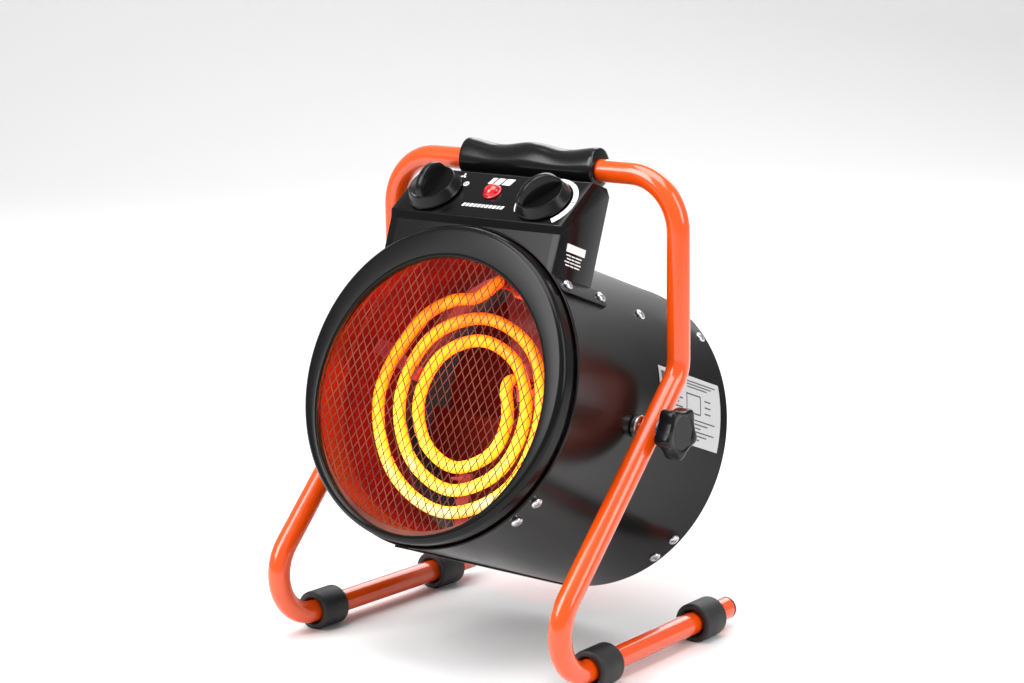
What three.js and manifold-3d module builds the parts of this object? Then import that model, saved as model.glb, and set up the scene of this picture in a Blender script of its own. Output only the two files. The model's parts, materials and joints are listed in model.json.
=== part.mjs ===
// Portable 2 kW fan heater: a steel drum with a spiral tubular element and an axial fan,
// hung by two clamp knobs in a bent tube stand that is also its handle.
// Millimetres, +Z up, front towards -Y. The origin is the centre of the footprint on the floor.

import * as THREE from 'three';
import { mergeVertices } from 'three/addons/utils/BufferGeometryUtils.js';
import Module from 'manifold-3d';

// ---------------------------------------------------------------- driving dimensions

const GAP = 0.3;                 // air between two pieces that touch
const FIT = 0.6;                 // radial play of a screw, shaft or sleeve in its hole

// Stand: one bent tube
const TUBE_R = 8;
const TUBE_WALL = 1.4;
const STAND_HALF_WIDTH = 124;    // to the tube's centreline
const PIVOT_HEIGHT = 165;
const LEG_LEAN = THREE.MathUtils.degToRad(44.5);   // sloping leg, from the vertical
const LEG_ABOVE_PIVOT = 47;      // along the leg, from the pivot to the knee
const HANDLE_ABOVE_PIVOT = 167;  // centreline of the top bar
const FOOT_BACK = 101.5;         // from the pivot back to the foot's end
const FOOT_TOE_IN = 7;           // the open end of each foot stands this much nearer the middle
const FOOT_BEND_R = 32;
const KNEE_BEND_R = 24;
const TOP_BEND_R = 38;

// Hand grip and floor sleeves
const GRIP_LENGTH = 116;
const GRIP_OFFSET = 2;           // the grip sits a little to the right on its bar
const GRIP_R = 12.5;
const GRIP_WAVE = 3.2;
const SLEEVE_R = 14;
const SLEEVE_LENGTH = 25;
const SLEEVE_FLAT = 0.7;         // depth of the flat that stands on the floor
const SLEEVE_FRONT_Y = -60.5;
const SLEEVE_REAR_Y = 69;

// Drum, measured along its own axis from the pivot
const TILT = THREE.MathUtils.degToRad(20.8);       // nose up, at rest
const DRUM_R = 111.5;
const DRUM_WALL = 1.2;
const DRUM_FRONT = 76;
const DRUM_REAR = 115;
const SEAM_LAP = 11;
const RING_DEPTH = 14;           // how far the front ring stands out of the drum
const RING_SHEET = 1.4;
const RING_ROLL = 4.5;           // radius of its rolled edge
const RING_SLEEVE = 18;          // length that slides into the drum
const MOUTH_MARGIN = 16;         // from the mouth out to the drum
const MOUTH_LIP = 5;             // depth of the lip turned in round the mouth
const MOUTH_DROP = 8.5;          // the mouth and the element sit below the drum's axis
const GUARD_SHEET = 1.2;
const GUARD_CELL = 25;           // width of a diamond
const GUARD_STRAND = 1.3;
const SHIELD_AIR = 9.3;          // between the liner and the casing
const SHIELD_SHEET = 1;
const SHIELD_REAR = 30;
const SHIELD_FLARE = 12;

// Heating element: a hand-bent spiral, given by how far inside the mouth's edge it runs at every
// eighth of a turn
const ELEMENT_R = 4.1;
const ELEMENT_PLANE = 43;        // forward of the pivot
const SPIRAL_START = 135;        // degrees, anticlockwise from the right as seen from the front
const SPIRAL_STEP = 45;
const ELEMENT_STEPS = 72;        // facets along it
const SPIRAL_INSETS = [
  16.7, 16.7, 21, 21.7, 26, 33, 32.5, 33.1,
  33, 35.7, 38.3, 37.3, 40.5, 45.3, 47.1, 48.6,
  50.1, 52.7, 54.3, 53.3, 55,
];
const SPIRAL_TAIL = [             // inside the last turn's radius, and the angle
  { inset: 3.62, angle: -12.5, back: 0 }, { inset: 6.27, angle: 6.7, back: 0 },
  { inset: 6.96, angle: 26.6, back: 0 }, { inset: 4.7, angle: 35.9, back: 2 },
  { inset: 2.86, angle: 39.6, back: 8 }, { inset: 2.86, angle: 39.6, back: 26 },
];
const BUSHING_R = 7;
const BUSHING_LENGTH = 14;
const SUPPORT_SHEET = 1.5;
const SUPPORT_WIDTH = 10;
const SUPPORT_ANGLES = [57, 172, 290];             // from the top towards the right side

// Fan and its motor
const FAN_AIR = 16.3;            // from the blade tips to the casing
const FAN_PLANE = 44;            // behind the pivot
const FAN_BLADES = 5;
const FAN_PITCH = THREE.MathUtils.degToRad(28);
const HUB_R = 17;
const HUB_LENGTH = 16;
const SHAFT_R = 3;
const MOTOR_R = 31;
const MOTOR_LENGTH = 36;
const BRACKET_SHEET = 1.5;
const BRACKET_WIDTH = 36;
const BRACKET_BACK = 98;
const GRILLE_SHEET = 1.2;
const GRILLE_SKIRT = 18;
const GRILLE_RINGS = 4;
const GRILLE_SECTORS = 6;
const GRILLE_BAR = 4;

// Control box on top of the drum
const BOX_HALF_WIDTH = 74;
const BOX_SHEET = 1.2;
const BOX_FRONT = 77.2;
const KNEE_ABOVE_DRUM = 6.5;
const CREST_ABOVE_DRUM = 42.5;
const KNEE = { forward: 78.8, up: DRUM_R + KNEE_ABOVE_DRUM };
const CREST = { forward: 53.5, up: DRUM_R + CREST_ABOVE_DRUM };
const BOX_REAR = 31;
const BOX_CHAMFER = 5;
const FLANGE_WIDTH = 9;
const FLANGE_TAIL = 9;           // how far the flange runs past the box's back
const KNOB_SPACING = 47;         // from the middle of the panel
const KNOB_R = 19.5;
const KNOB_RIM_R = 17;
const KNOB_HEIGHT = 8.5;         // of the tapered skirt
const KNOB_BAR_WIDTH = 6;
const KNOB_BAR_HEIGHT = 12;      // of the arched finger bar over the skirt
const SPINDLE_R = 3;
const SWITCH = { width: 30, depth: 26, height: 20 };
const THERMOSTAT = { width: 38, depth: 26, height: 18 };
const LAMP_R = 6.2;
const TERMINALS = { width: 44, depth: 10, height: 13 };
const GLAND_R = 6;
const GLAND_AT = { across: -45, aboveDrum: 16.5 };

// Clamp hardware at the pivots
const STUD_R = 3;
const SPACER_R = 8;
const WASHER_R = 8.5;
const WASHER_SHEET = 1.6;
const STAR_R = 18.6;
const STAR_ROOT = 14.5;
const STAR_LOBES = 5;
const STAR_DEPTH = 13;
const STAR_NECK = 3;
const STAR_DISH_R = 12;
const STAR_TURN = 86.5;          // degrees, heading of one lobe

// Pan-head screws, by their place on the drum
const SCREW_HEAD_R = 4;
const SCREW_HEAD = 2.4;
const SCREW_R = 1.6;
const SCREW_LENGTH = 7;
const FLANGE_SCREW_OUT = 4.3;    // from the cheek out to the screws of its flange
const FLANGE_ANGLE = THREE.MathUtils.radToDeg(Math.asin((BOX_HALF_WIDTH + FLANGE_SCREW_OUT) / DRUM_R));
const SCREWS = [
  { name: 'flange_front', forward: 66.6, angle: FLANGE_ANGLE, on: 'flange' },
  { name: 'flange_rear', forward: 26.7, angle: FLANGE_ANGLE, on: 'flange' },
  { name: 'shield', forward: -24.4, angle: 45, on: 'drum' },
  { name: 'grille_upper', forward: -104, angle: 45, on: 'drum' },
  { name: 'ring_upper', forward: 65, angle: 126, on: 'drum' },
  { name: 'ring_lower', forward: 65, angle: 136, on: 'drum' },
  { name: 'grille_middle', forward: -106, angle: 126, on: 'drum' },
  { name: 'grille_lower', forward: -106, angle: 136, on: 'drum' },
];

// Rating label on the drum's right side
const LABEL = { front: 25, back: 104.5, top: 65.5, bottom: 90.5, thickness: 0.3 };

// ---------------------------------------------------------------- sizes that follow

const FOOT_Z = SLEEVE_R - SLEEVE_FLAT;
const LEG_BELOW_PIVOT = (PIVOT_HEIGHT - FOOT_Z) / Math.cos(LEG_LEAN);
const FOOT_FRONT = LEG_BELOW_PIVOT * Math.sin(LEG_LEAN);
const HANDLE_Y = LEG_ABOVE_PIVOT * Math.sin(LEG_LEAN);
const KNEE_Z = PIVOT_HEIGHT + LEG_ABOVE_PIVOT * Math.cos(LEG_LEAN);
const HANDLE_HEIGHT = PIVOT_HEIGHT + HANDLE_ABOVE_PIVOT;
const TUBE_BORE = TUBE_R - TUBE_WALL;
const DRUM_BORE = DRUM_R - DRUM_WALL;
const INSIDE_R = DRUM_BORE - FIT;              // what slides into the drum
const MOUTH_R = DRUM_R - MOUTH_MARGIN;
const SHIELD_R = DRUM_BORE - SHIELD_AIR;
const FAN_R = DRUM_BORE - FAN_AIR;
const SPIRAL_RADII = SPIRAL_INSETS.map((inset) => MOUTH_R - inset);
const RING_FACE = DRUM_FRONT + RING_DEPTH;
const RING_BORE = INSIDE_R - RING_SHEET;
const GUARD_FRONT = RING_FACE - MOUTH_LIP - GAP;
const SHIELD_FRONT = GUARD_FRONT - GUARD_SHEET - GAP;
const GUARD_R = RING_BORE - GAP;               // guard and liner flange, inside the ring's sleeve
const SCREW_HOLE_R = SCREW_R + FIT;

// ---------------------------------------------------------------- solids

const wasm = await Module();
wasm.setup();

// A closed three.js geometry as a solid that faces out.
function solid(geometry) {
  const bare = geometry.clone();
  bare.deleteAttribute('normal');
  bare.deleteAttribute('uv');
  const merged = mergeVertices(bare, 1e-4);
  const index = merged.index.array;
  const corners = [];
  for (let i = 0; i < index.length; i += 3) {
    const [a, b, c] = [index[i], index[i + 1], index[i + 2]];
    if (a !== b && b !== c && c !== a) corners.push(a, b, c);
  }
  const made = (triVerts) => new wasm.Manifold(new wasm.Mesh({
    numProp: 3,
    vertProperties: new Float32Array(merged.attributes.position.array),
    triVerts: new Uint32Array(triVerts),
  }));
  const shape = made(corners);
  return shape.volume() > 0 ? shape : made(corners.reverse());
}

function joined(...parts) {
  return parts.reduce((all, part) => all.add(part));
}

function cut(shape, ...tools) {
  return tools.reduce((left, tool) => left.subtract(tool), shape);
}

function geometryOf(shape) {
  const mesh = shape.getMesh();
  const geometry = new THREE.BufferGeometry();
  geometry.setAttribute('position', new THREE.BufferAttribute(new Float32Array(mesh.vertProperties), 3));
  geometry.setIndex(new THREE.BufferAttribute(new Uint32Array(mesh.triVerts), 1));
  geometry.computeVertexNormals();
  return geometry;
}

// Turned piece: [radius, y] pairs round the Y axis.
function turned(profile, segments = 32) {
  return new THREE.LatheGeometry(profile.map(([r, y]) => new THREE.Vector2(r, y)), segments);
}

// Tube or ring round the Y axis, between y0 and y1.
function ringShape(outer, inner, y0, y1, segments = 32) {
  return turned([[inner, y0], [outer, y0], [outer, y1], [inner, y1], [inner, y0]], segments);
}

// Cylinder along Y, between y0 and y1.
function bar(radius, y0, y1, segments = 24) {
  return new THREE.CylinderGeometry(radius, radius, y1 - y0, segments).translate(0, (y0 + y1) / 2, 0);
}

function block(x0, x1, y0, y1, z0, z1) {
  return new THREE.BoxGeometry(x1 - x0, y1 - y0, z1 - z0)
    .translate((x0 + x1) / 2, (y0 + y1) / 2, (z0 + z1) / 2);
}

function plate(shape, thickness, curveSegments = 4) {
  return new THREE.ExtrudeGeometry(shape, { depth: thickness, bevelEnabled: false, curveSegments });
}

// A plate drawn in X and Z that faces the front, from y0 back to y0 + thickness.
function frontPlate(shape, y0, thickness) {
  return plate(shape, thickness).rotateX(Math.PI / 2).translate(0, y0 + thickness, 0);
}

// Points on an arc, both ends included.
function arcPoints(radius, from, to, steps) {
  return Array.from({ length: steps + 1 }, (_, k) => {
    const a = from + (to - from) * k / steps;
    return new THREE.Vector2(radius * Math.cos(a), radius * Math.sin(a));
  });
}

function circle(radius, sides) {
  return new THREE.Shape(arcPoints(radius, 0, 2 * Math.PI, sides).slice(1));
}

// Closed band of a circle, from one angle to the next.
function sector(inner, outer, from, to, steps) {
  return new THREE.Shape([...arcPoints(outer, from, to, steps), ...arcPoints(inner, to, from, steps)]);
}

// A bent rod's centreline: straight runs joined by arcs, each arc in equal steps.
class BentLine extends THREE.Curve {
  constructor(corners, radii, stepsPerArc = 6) {
    super();
    this.nodes = [];
    this.directions = [];
    const along = (i) => corners[i + 1].clone().sub(corners[i]).normalize();
    this.push(corners[0], along(0));
    for (let i = 1; i < corners.length - 1; i++) {
      this.bend(corners[i], along(i - 1), along(i), radii[i - 1], stepsPerArc);
    }
    this.push(corners[corners.length - 1], along(corners.length - 2));
  }

  push(point, direction) {
    this.nodes.push(point.clone());
    this.directions.push(direction.clone());
  }

  bend(corner, into, out, radius, steps) {
    const turn = into.angleTo(out);
    const reach = radius * Math.tan(turn / 2);
    const axis = into.clone().cross(out).normalize();
    const start = corner.clone().addScaledVector(into, -reach);
    const inward = axis.clone().cross(into);
    const centre = start.clone().addScaledVector(inward, radius);
    for (let k = 0; k <= steps; k++) {
      const angle = turn * k / steps;
      const arm = start.clone().sub(centre).applyAxisAngle(axis, angle);
      this.push(centre.clone().add(arm), into.clone().applyAxisAngle(axis, angle));
    }
  }

  get steps() { return this.nodes.length - 1; }

  getPoint(t, target = new THREE.Vector3()) { return target.copy(this.nodes[Math.round(t * this.steps)]); }

  getPointAt(u, target) { return this.getPoint(u, target); }

  getTangent(t, target = new THREE.Vector3()) {
    return target.copy(this.directions[Math.round(t * this.steps)]);
  }

  getTangentAt(u, target) { return this.getTangent(u, target); }

  getSpacedPoints(steps) { return Array.from({ length: steps + 1 }, (_, i) => this.getPoint(i / steps)); }
}

function swept(line, section) {
  return new THREE.ExtrudeGeometry(section, { steps: line.steps, extrudePath: line });
}

// ---------------------------------------------------------------- finishes

const finish = (color, roughness, metalness, extra = {}) => () =>
  new THREE.MeshStandardMaterial({ color, roughness, metalness, ...extra });

const orangeEnamel = finish(0xf0531c, 0.28, 0.0);
const blackEnamel = finish(0x1c1c1d, 0.42, 0.1);
const blackRubber = finish(0x232324, 0.8, 0.0);
const blackPlastic = finish(0x141415, 0.38, 0.0);
const zincSteel = finish(0xc9ccd0, 0.3, 0.9);
const darkSteel = finish(0x4a4a4c, 0.45, 0.8);
const hotSheath = finish(0xff8a1e, 0.5, 0.0, { emissive: 0xff6a00, emissiveIntensity: 1 });
const brightSteel = finish(0xb9bcc0, 0.32, 0.9);
const whiteCeramic = finish(0xe9e4da, 0.5, 0.0);
const redLens = finish(0xb3121a, 0.15, 0.0);
const fanMetal = finish(0x9fa3a8, 0.4, 0.85);
const labelFilm = finish(0xdcdcda, 0.45, 0.0);
const switchBlack = finish(0x2a2a2b, 0.55, 0.0);

function piece(parent, name, shape, material) {
  const geometry = shape.isBufferGeometry ? geometryOf(solid(shape)) : geometryOf(shape);
  const mesh = new THREE.Mesh(geometry, material());
  mesh.name = name;
  parent.add(mesh);
  return mesh;
}

const SIDES = [{ word: 'right', sign: 1 }, { word: 'left', sign: -1 }];

// ---------------------------------------------------------------- stand

// Distance of a foot's centreline from the middle plane.
function footX(y) {
  return STAND_HALF_WIDTH - FOOT_TOE_IN * (y + FOOT_FRONT) / (FOOT_BACK + FOOT_FRONT);
}

// The stand's line runs from the right foot's end, round the handle, to the left foot's end.
function standLine() {
  const side = (sign) => [
    new THREE.Vector3(sign * footX(FOOT_BACK), FOOT_BACK, FOOT_Z),
    new THREE.Vector3(sign * footX(-FOOT_FRONT), -FOOT_FRONT, FOOT_Z),
    new THREE.Vector3(sign * STAND_HALF_WIDTH, HANDLE_Y, KNEE_Z),
    new THREE.Vector3(sign * STAND_HALF_WIDTH, HANDLE_Y, HANDLE_HEIGHT),
  ];
  const bends = [FOOT_BEND_R, KNEE_BEND_R, TOP_BEND_R];
  return new BentLine([...side(1), ...side(-1).reverse()], [...bends, ...bends.slice().reverse()], 4);
}

function standTube() {
  const wall = circle(TUBE_R, 10);
  wall.holes.push(circle(TUBE_BORE, 10));
  const drillLength = 2 * (STAND_HALF_WIDTH + 2 * TUBE_R);
  const drill = new THREE.CylinderGeometry(STUD_R + FIT, STUD_R + FIT, drillLength, 10);
  drill.rotateZ(Math.PI / 2).translate(0, 0, PIVOT_HEIGHT);
  return cut(solid(swept(standLine(), wall)), solid(drill));
}

// Finger grip: a sleeve on the top bar whose upper side rises in three swells.
function handleGrip() {
  const sleeve = new THREE.CylinderGeometry(GRIP_R, GRIP_R, GRIP_LENGTH, 20, 20).rotateZ(Math.PI / 2);
  const position = sleeve.attributes.position;
  for (let i = 0; i < position.count; i++) {
    const x = position.getX(i);
    const z = position.getZ(i);
    const swell = GRIP_WAVE * (0.5 + 0.5 * Math.cos(4 * Math.PI * x / GRIP_LENGTH));
    const along = Math.abs(x) < GRIP_LENGTH / 2 - 1 ? 1 : 0.75;
    position.setZ(i, z + Math.max(0, z / GRIP_R) * swell * along);
  }
  const bore = new THREE.CylinderGeometry(TUBE_R + GAP, TUBE_R + GAP, GRIP_LENGTH + 2, 16)
    .rotateZ(Math.PI / 2);
  return cut(solid(sleeve), solid(bore));
}

// Rubber floor sleeve with a small flat under it, along Y.
function footSleeve() {
  const half = SLEEVE_LENGTH / 2;
  const soft = 1.5;
  const bore = TUBE_R + GAP;
  const profile = [
    [bore, -half], [SLEEVE_R - soft, -half], [SLEEVE_R, -half + soft], [SLEEVE_R, half - soft],
    [SLEEVE_R - soft, half], [bore, half], [bore, -half],
  ];
  const floor = block(-SLEEVE_R, SLEEVE_R, -half - 1, half + 1, -SLEEVE_R - 1, -SLEEVE_R + SLEEVE_FLAT);
  return cut(solid(turned(profile, 24)), solid(floor));
}

// Plug in the end of a foot: a domed head outside and a stem in the bore.
function endPlug() {
  const stem = TUBE_BORE - FIT;
  return turned([
    [0, -12], [stem, -12], [stem, GAP], [TUBE_R, GAP], [TUBE_R, 1.6], [TUBE_R - 2, 3.2], [0, 3.8],
  ], 16);
}

function buildStand(root) {
  piece(root, 'stand_tube', standTube(), orangeEnamel);
  piece(root, 'handle_grip', handleGrip(), blackPlastic).position.set(GRIP_OFFSET, HANDLE_Y, HANDLE_HEIGHT);
  for (const { word, sign } of SIDES) {
    const toeIn = sign * Math.atan2(FOOT_TOE_IN, FOOT_BACK + FOOT_FRONT);
    const onFoot = (mesh, y) => {
      mesh.position.set(sign * footX(y), y, FOOT_Z);
      mesh.rotation.z = toeIn;
    };
    onFoot(piece(root, `foot_sleeve_front_${word}`, footSleeve(), blackRubber), SLEEVE_FRONT_Y);
    onFoot(piece(root, `foot_sleeve_rear_${word}`, footSleeve(), blackRubber), SLEEVE_REAR_Y);
    onFoot(piece(root, `foot_plug_${word}`, endPlug(), blackPlastic), FOOT_BACK);
  }
}

// ---------------------------------------------------------------- drum shell
// In the drum's own frame its axis is Y, the front is -Y and Z is square to the axis.

function onDrum(geometry, angle, forward) {
  return geometry.rotateY(THREE.MathUtils.degToRad(angle)).translate(0, -forward, 0);
}

// Clearance holes for every screw, cut through whatever the screws pass.
function screwHoles() {
  const holes = [];
  for (const { sign } of SIDES) {
    for (const screw of SCREWS) {
      const hole = new THREE.CylinderGeometry(SCREW_HOLE_R, SCREW_HOLE_R, 16, 6)
        .rotateX(Math.PI / 2).translate(0, 0, DRUM_R);
      holes.push(solid(onDrum(hole, sign * screw.angle, screw.forward)));
    }
  }
  return joined(...holes);
}

const holes = screwHoles();

// Rolled sheet whose outer end laps the inner one in a flat tangent strip under the drum.
function drumCasing() {
  const shell = solid(ringShape(DRUM_R, DRUM_BORE, -DRUM_FRONT, DRUM_REAR, 48));
  const lap = block(-SEAM_LAP, 0.5, -DRUM_FRONT, DRUM_REAR, -DRUM_R - DRUM_WALL, -DRUM_R + 0.2);
  const pivotHole = new THREE.CylinderGeometry(STUD_R + FIT, STUD_R + FIT, 3 * DRUM_R, 12)
    .rotateZ(Math.PI / 2);
  const wireHole = block(-32, 32, -66, -42, DRUM_R / 2, DRUM_R + 5);
  return cut(joined(shell, solid(lap)), solid(pivotHole), solid(wireHole), holes);
}

// Pressed ring with a rolled edge. Its mouth is set below the drum's axis.
function frontRing() {
  const face = -RING_FACE;
  const outer = INSIDE_R;
  const roll = [];
  const inside = [];
  for (let k = 0; k <= 3; k++) {
    const a = Math.PI / 2 * k / 3;
    const near = outer - RING_ROLL;
    roll.push([near + RING_ROLL * Math.sin(a), face + RING_ROLL * (1 - Math.cos(a))]);
    const thin = RING_ROLL - RING_SHEET;
    inside.unshift([near + thin * Math.sin(a), face + RING_ROLL - thin * Math.cos(a)]);
  }
  const back = -DRUM_FRONT + RING_SLEEVE;
  const profile = [[0, face], ...roll, [outer, back], [RING_BORE, back], ...inside, [0, face + RING_SHEET]];
  const lip = bar(MOUTH_R + RING_SHEET, face + 0.2, face + MOUTH_LIP, 40).translate(0, 0, -MOUTH_DROP);
  const mouth = bar(MOUTH_R, face - 5, face + MOUTH_LIP + 5, 40).translate(0, 0, -MOUTH_DROP);
  return cut(joined(solid(turned(profile, 40)), solid(lip)), solid(mouth), holes);
}

// Flat diamond-mesh guard: a disc with rows of diamond openings inside a plain rim.
function frontGuard() {
  const sheet = circle(GUARD_R, 40);
  const halfWide = GUARD_CELL / 2;
  const halfTall = GUARD_CELL * 0.8;
  const shrink = GUARD_STRAND / 2;
  const rows = Math.ceil(2 * MOUTH_R / halfTall);
  for (let row = -rows; row <= rows; row++) {
    for (let column = -rows; column <= rows; column++) {
      if ((row + column) % 2 !== 0) continue;
      const x = column * halfWide;
      const z = row * halfTall;
      const reach = Math.hypot(Math.abs(x) + halfWide * 0.7, Math.abs(z + MOUTH_DROP) + halfTall * 0.7);
      if (reach > MOUTH_R - 1) continue;
      const wide = halfWide - shrink * Math.SQRT2;
      const tall = halfTall - shrink * Math.SQRT2;
      const diamond = new THREE.Path();
      diamond.moveTo(x, z - tall).lineTo(x - wide, z).lineTo(x, z + tall).lineTo(x + wide, z).closePath();
      sheet.holes.push(diamond);
    }
  }
  return frontPlate(sheet, -GUARD_FRONT, GUARD_SHEET);
}

// Inner liner: a flange behind the guard, a barrel round the element, a flare to the drum at the back.
function heatShield() {
  const inner = SHIELD_R - SHIELD_SHEET;
  const wide = INSIDE_R;
  const front = -SHIELD_FRONT;
  const back = SHIELD_REAR;
  const flareEnd = back - SHIELD_FLARE;
  const flareStart = flareEnd - (wide - SHIELD_R);
  const profile = [
    [SHIELD_R, front + SHIELD_SHEET], [SHIELD_R, flareStart], [wide, flareEnd], [wide, back],
    [wide - SHIELD_SHEET, back], [wide - SHIELD_SHEET, flareEnd], [inner, flareStart], [inner, front],
    [GUARD_R, front], [GUARD_R, front + SHIELD_SHEET], [SHIELD_R, front + SHIELD_SHEET],
  ];
  const wires = block(-10, 10, -6, 6, SHIELD_R / 2, SHIELD_R + 3);
  return cut(solid(turned(profile, 40)), solid(wires), holes);
}

// ---------------------------------------------------------------- heating element

// Radius of the spiral where it passes an angle, counted on through all its turns.
function spiralRadius(degrees) {
  const place = (degrees - SPIRAL_START) / SPIRAL_STEP;
  const first = Math.floor(place);
  return THREE.MathUtils.lerp(SPIRAL_RADII[first], SPIRAL_RADII[first + 1], place - first);
}

// Centreline in the drum's frame. The outer end comes forward out of its bushing at the top, the
// inner end rises on the right and turns back to its own.
function elementLine() {
  const at = (x, z, back = 0) => new THREE.Vector3(x, -ELEMENT_PLANE + back, z - MOUTH_DROP);
  const turns = SPIRAL_RADII.map((radius, i) => {
    const a = THREE.MathUtils.degToRad(SPIRAL_START + i * SPIRAL_STEP);
    return at(radius * Math.cos(a), radius * Math.sin(a));
  });
  const tail = SPIRAL_TAIL.map(({ inset, angle, back }) => {
    const r = SPIRAL_RADII.at(-1) - inset;
    const a = THREE.MathUtils.degToRad(angle);
    return at(r * Math.cos(a), r * Math.sin(a), back);
  });
  const course = new THREE.CatmullRomCurve3([
    at(3, MOUTH_R - 5.5, 26), at(3, MOUTH_R - 5.5, 10), at(1.5, MOUTH_R - 7, 3),
    at(-3, MOUTH_R - 13.5), at(-12, MOUTH_R - 19.5), at(-32, MOUTH_R - 23.5),
    ...turns,
    ...tail,
  ], false, 'centripetal');
  course.arcLengthDivisions = 1200;
  const line = new BentLine([at(3, MOUTH_R, 26), at(3, MOUTH_R)], []);
  line.nodes.length = 0;
  line.directions.length = 0;
  for (let k = 0; k <= ELEMENT_STEPS; k++) {
    line.push(course.getPointAt(k / ELEMENT_STEPS), course.getTangentAt(k / ELEMENT_STEPS));
  }
  return line;
}

const elementPath = elementLine();

// Ends of the element, where it enters its bushings.
const TERMINALS_AT = [elementPath.nodes[0], elementPath.nodes[elementPath.nodes.length - 1]];
const BUSHING_FRONT = TERMINALS_AT[0].y + GAP;
const HOLDER_FRONT = BUSHING_FRONT + BUSHING_LENGTH / 2;

// Ceramic bushing with a groove that the holder plate sits in.
function bushing() {
  const middle = BUSHING_LENGTH / 2;
  const groove = BUSHING_R - 1.6;
  const half = SUPPORT_SHEET / 2 + GAP;
  return turned([
    [0, 0], [BUSHING_R - 1, 0], [BUSHING_R, 1], [BUSHING_R, middle - half], [groove, middle - half],
    [groove, middle + half], [BUSHING_R, middle + half], [BUSHING_R, BUSHING_LENGTH - 1],
    [BUSHING_R - 1, BUSHING_LENGTH], [0, BUSHING_LENGTH],
  ], 14);
}

// Plate that holds both bushings, with a foot bent forward along the liner.
function bushingHolder() {
  const y0 = HOLDER_FRONT - SUPPORT_SHEET / 2;
  const seat = BUSHING_R - 1.6 + GAP;
  const [upper, lower] = TERMINALS_AT;
  const margin = BUSHING_R + 5;
  const left = upper.x - margin;
  const right = lower.x + margin;
  const top = Math.sqrt((SHIELD_R - SHIELD_SHEET - GAP) ** 2 - (upper.x + margin) ** 2);
  const outline = new THREE.Shape();
  outline.moveTo(left, top);
  outline.lineTo(left, upper.z - margin);
  outline.lineTo(lower.x - margin, lower.z - margin);
  outline.lineTo(right, lower.z - margin);
  outline.lineTo(right, lower.z + margin);
  outline.lineTo(upper.x + margin, top);
  outline.closePath();
  const web = frontPlate(outline, y0, SUPPORT_SHEET);
  const foot = block(left, upper.x + margin, y0 - 12, y0 + SUPPORT_SHEET, top - SUPPORT_SHEET, top);
  const seats = TERMINALS_AT.map((p) => solid(bar(seat, y0 - 5, y0 + 5, 16).translate(p.x, 0, p.z)));
  return cut(joined(solid(web), solid(foot)), ...seats);
}

// Strip behind the turns from the liner inwards, with a toe that stands between two turns.
function elementSupport(degrees) {
  const y0 = -ELEMENT_PLANE + ELEMENT_R + GAP;
  const y1 = y0 + SUPPORT_SHEET;
  const drop = MOUTH_DROP * Math.cos(THREE.MathUtils.degToRad(degrees));
  const bore = SHIELD_R - SHIELD_SHEET - GAP;
  const outer = drop + Math.sqrt(bore ** 2 - MOUTH_DROP ** 2 + drop ** 2) - 1;
  const facing = 90 - degrees + (degrees > 90 ? 360 : 0);
  const toeAt = (spiralRadius(facing + 360) + spiralRadius(facing + 720)) / 2;
  const inner = toeAt - 4;
  const half = SUPPORT_WIDTH / 2;
  const strip = block(-half, half, y0, y1, inner, outer);
  const foot = block(-half, half, y0, y0 + 16, outer - SUPPORT_SHEET, outer);
  const sheet = SUPPORT_SHEET / 2;
  const toe = block(-half, half, y0 - 2 * ELEMENT_R, y1, toeAt - sheet, toeAt + sheet);
  return joined(solid(strip), solid(foot), solid(toe));
}

function buildFront(drum) {
  piece(drum, 'drum_casing', drumCasing(), blackEnamel);
  piece(drum, 'front_ring', frontRing(), blackEnamel);
  piece(drum, 'front_guard', frontGuard(), darkSteel);
  piece(drum, 'heat_shield', heatShield(), brightSteel);
  piece(drum, 'heating_element', swept(elementPath, circle(ELEMENT_R, 8)), hotSheath);
  TERMINALS_AT.forEach((p, i) => {
    piece(drum, `terminal_bushing_${i + 1}`, bushing(), whiteCeramic).position.set(p.x, BUSHING_FRONT, p.z);
  });
  piece(drum, 'bushing_holder', bushingHolder(), brightSteel);
  SUPPORT_ANGLES.forEach((degrees, i) => {
    const support = piece(drum, `element_support_${i + 1}`, elementSupport(degrees), brightSteel);
    support.rotation.y = THREE.MathUtils.degToRad(degrees);
    support.position.z = -MOUTH_DROP;
  });
}

// ---------------------------------------------------------------- fan, motor and rear grille

// Rear grille: a shallow cup with ring-shaped slots, screwed inside the drum's back edge.
function rearGrille() {
  const face = DRUM_REAR - 1 - GRILLE_SHEET;
  const outer = INSIDE_R;
  const disc = circle(outer, 40);
  const first = MOTOR_R - 3;
  const pitch = (outer - 5 - first) / GRILLE_RINGS;
  const halfBar = GRILLE_BAR / 2;
  for (let ring = 0; ring < GRILLE_RINGS; ring++) {
    const inner = first + ring * pitch + halfBar;
    const rim = first + (ring + 1) * pitch - halfBar;
    for (let k = 0; k < GRILLE_SECTORS; k++) {
      const trim = halfBar * 1.4 / inner;
      const from = 2 * Math.PI * k / GRILLE_SECTORS + trim;
      const to = 2 * Math.PI * (k + 1) / GRILLE_SECTORS - trim;
      disc.holes.push(sector(inner, rim, from, to, 4));
    }
  }
  const sheet = frontPlate(disc, face, GRILLE_SHEET);
  const skirt = ringShape(outer, outer - GRILLE_SHEET, face - GRILLE_SKIRT, face + 0.2, 40);
  return cut(joined(solid(sheet), solid(skirt)), holes);
}

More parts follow.
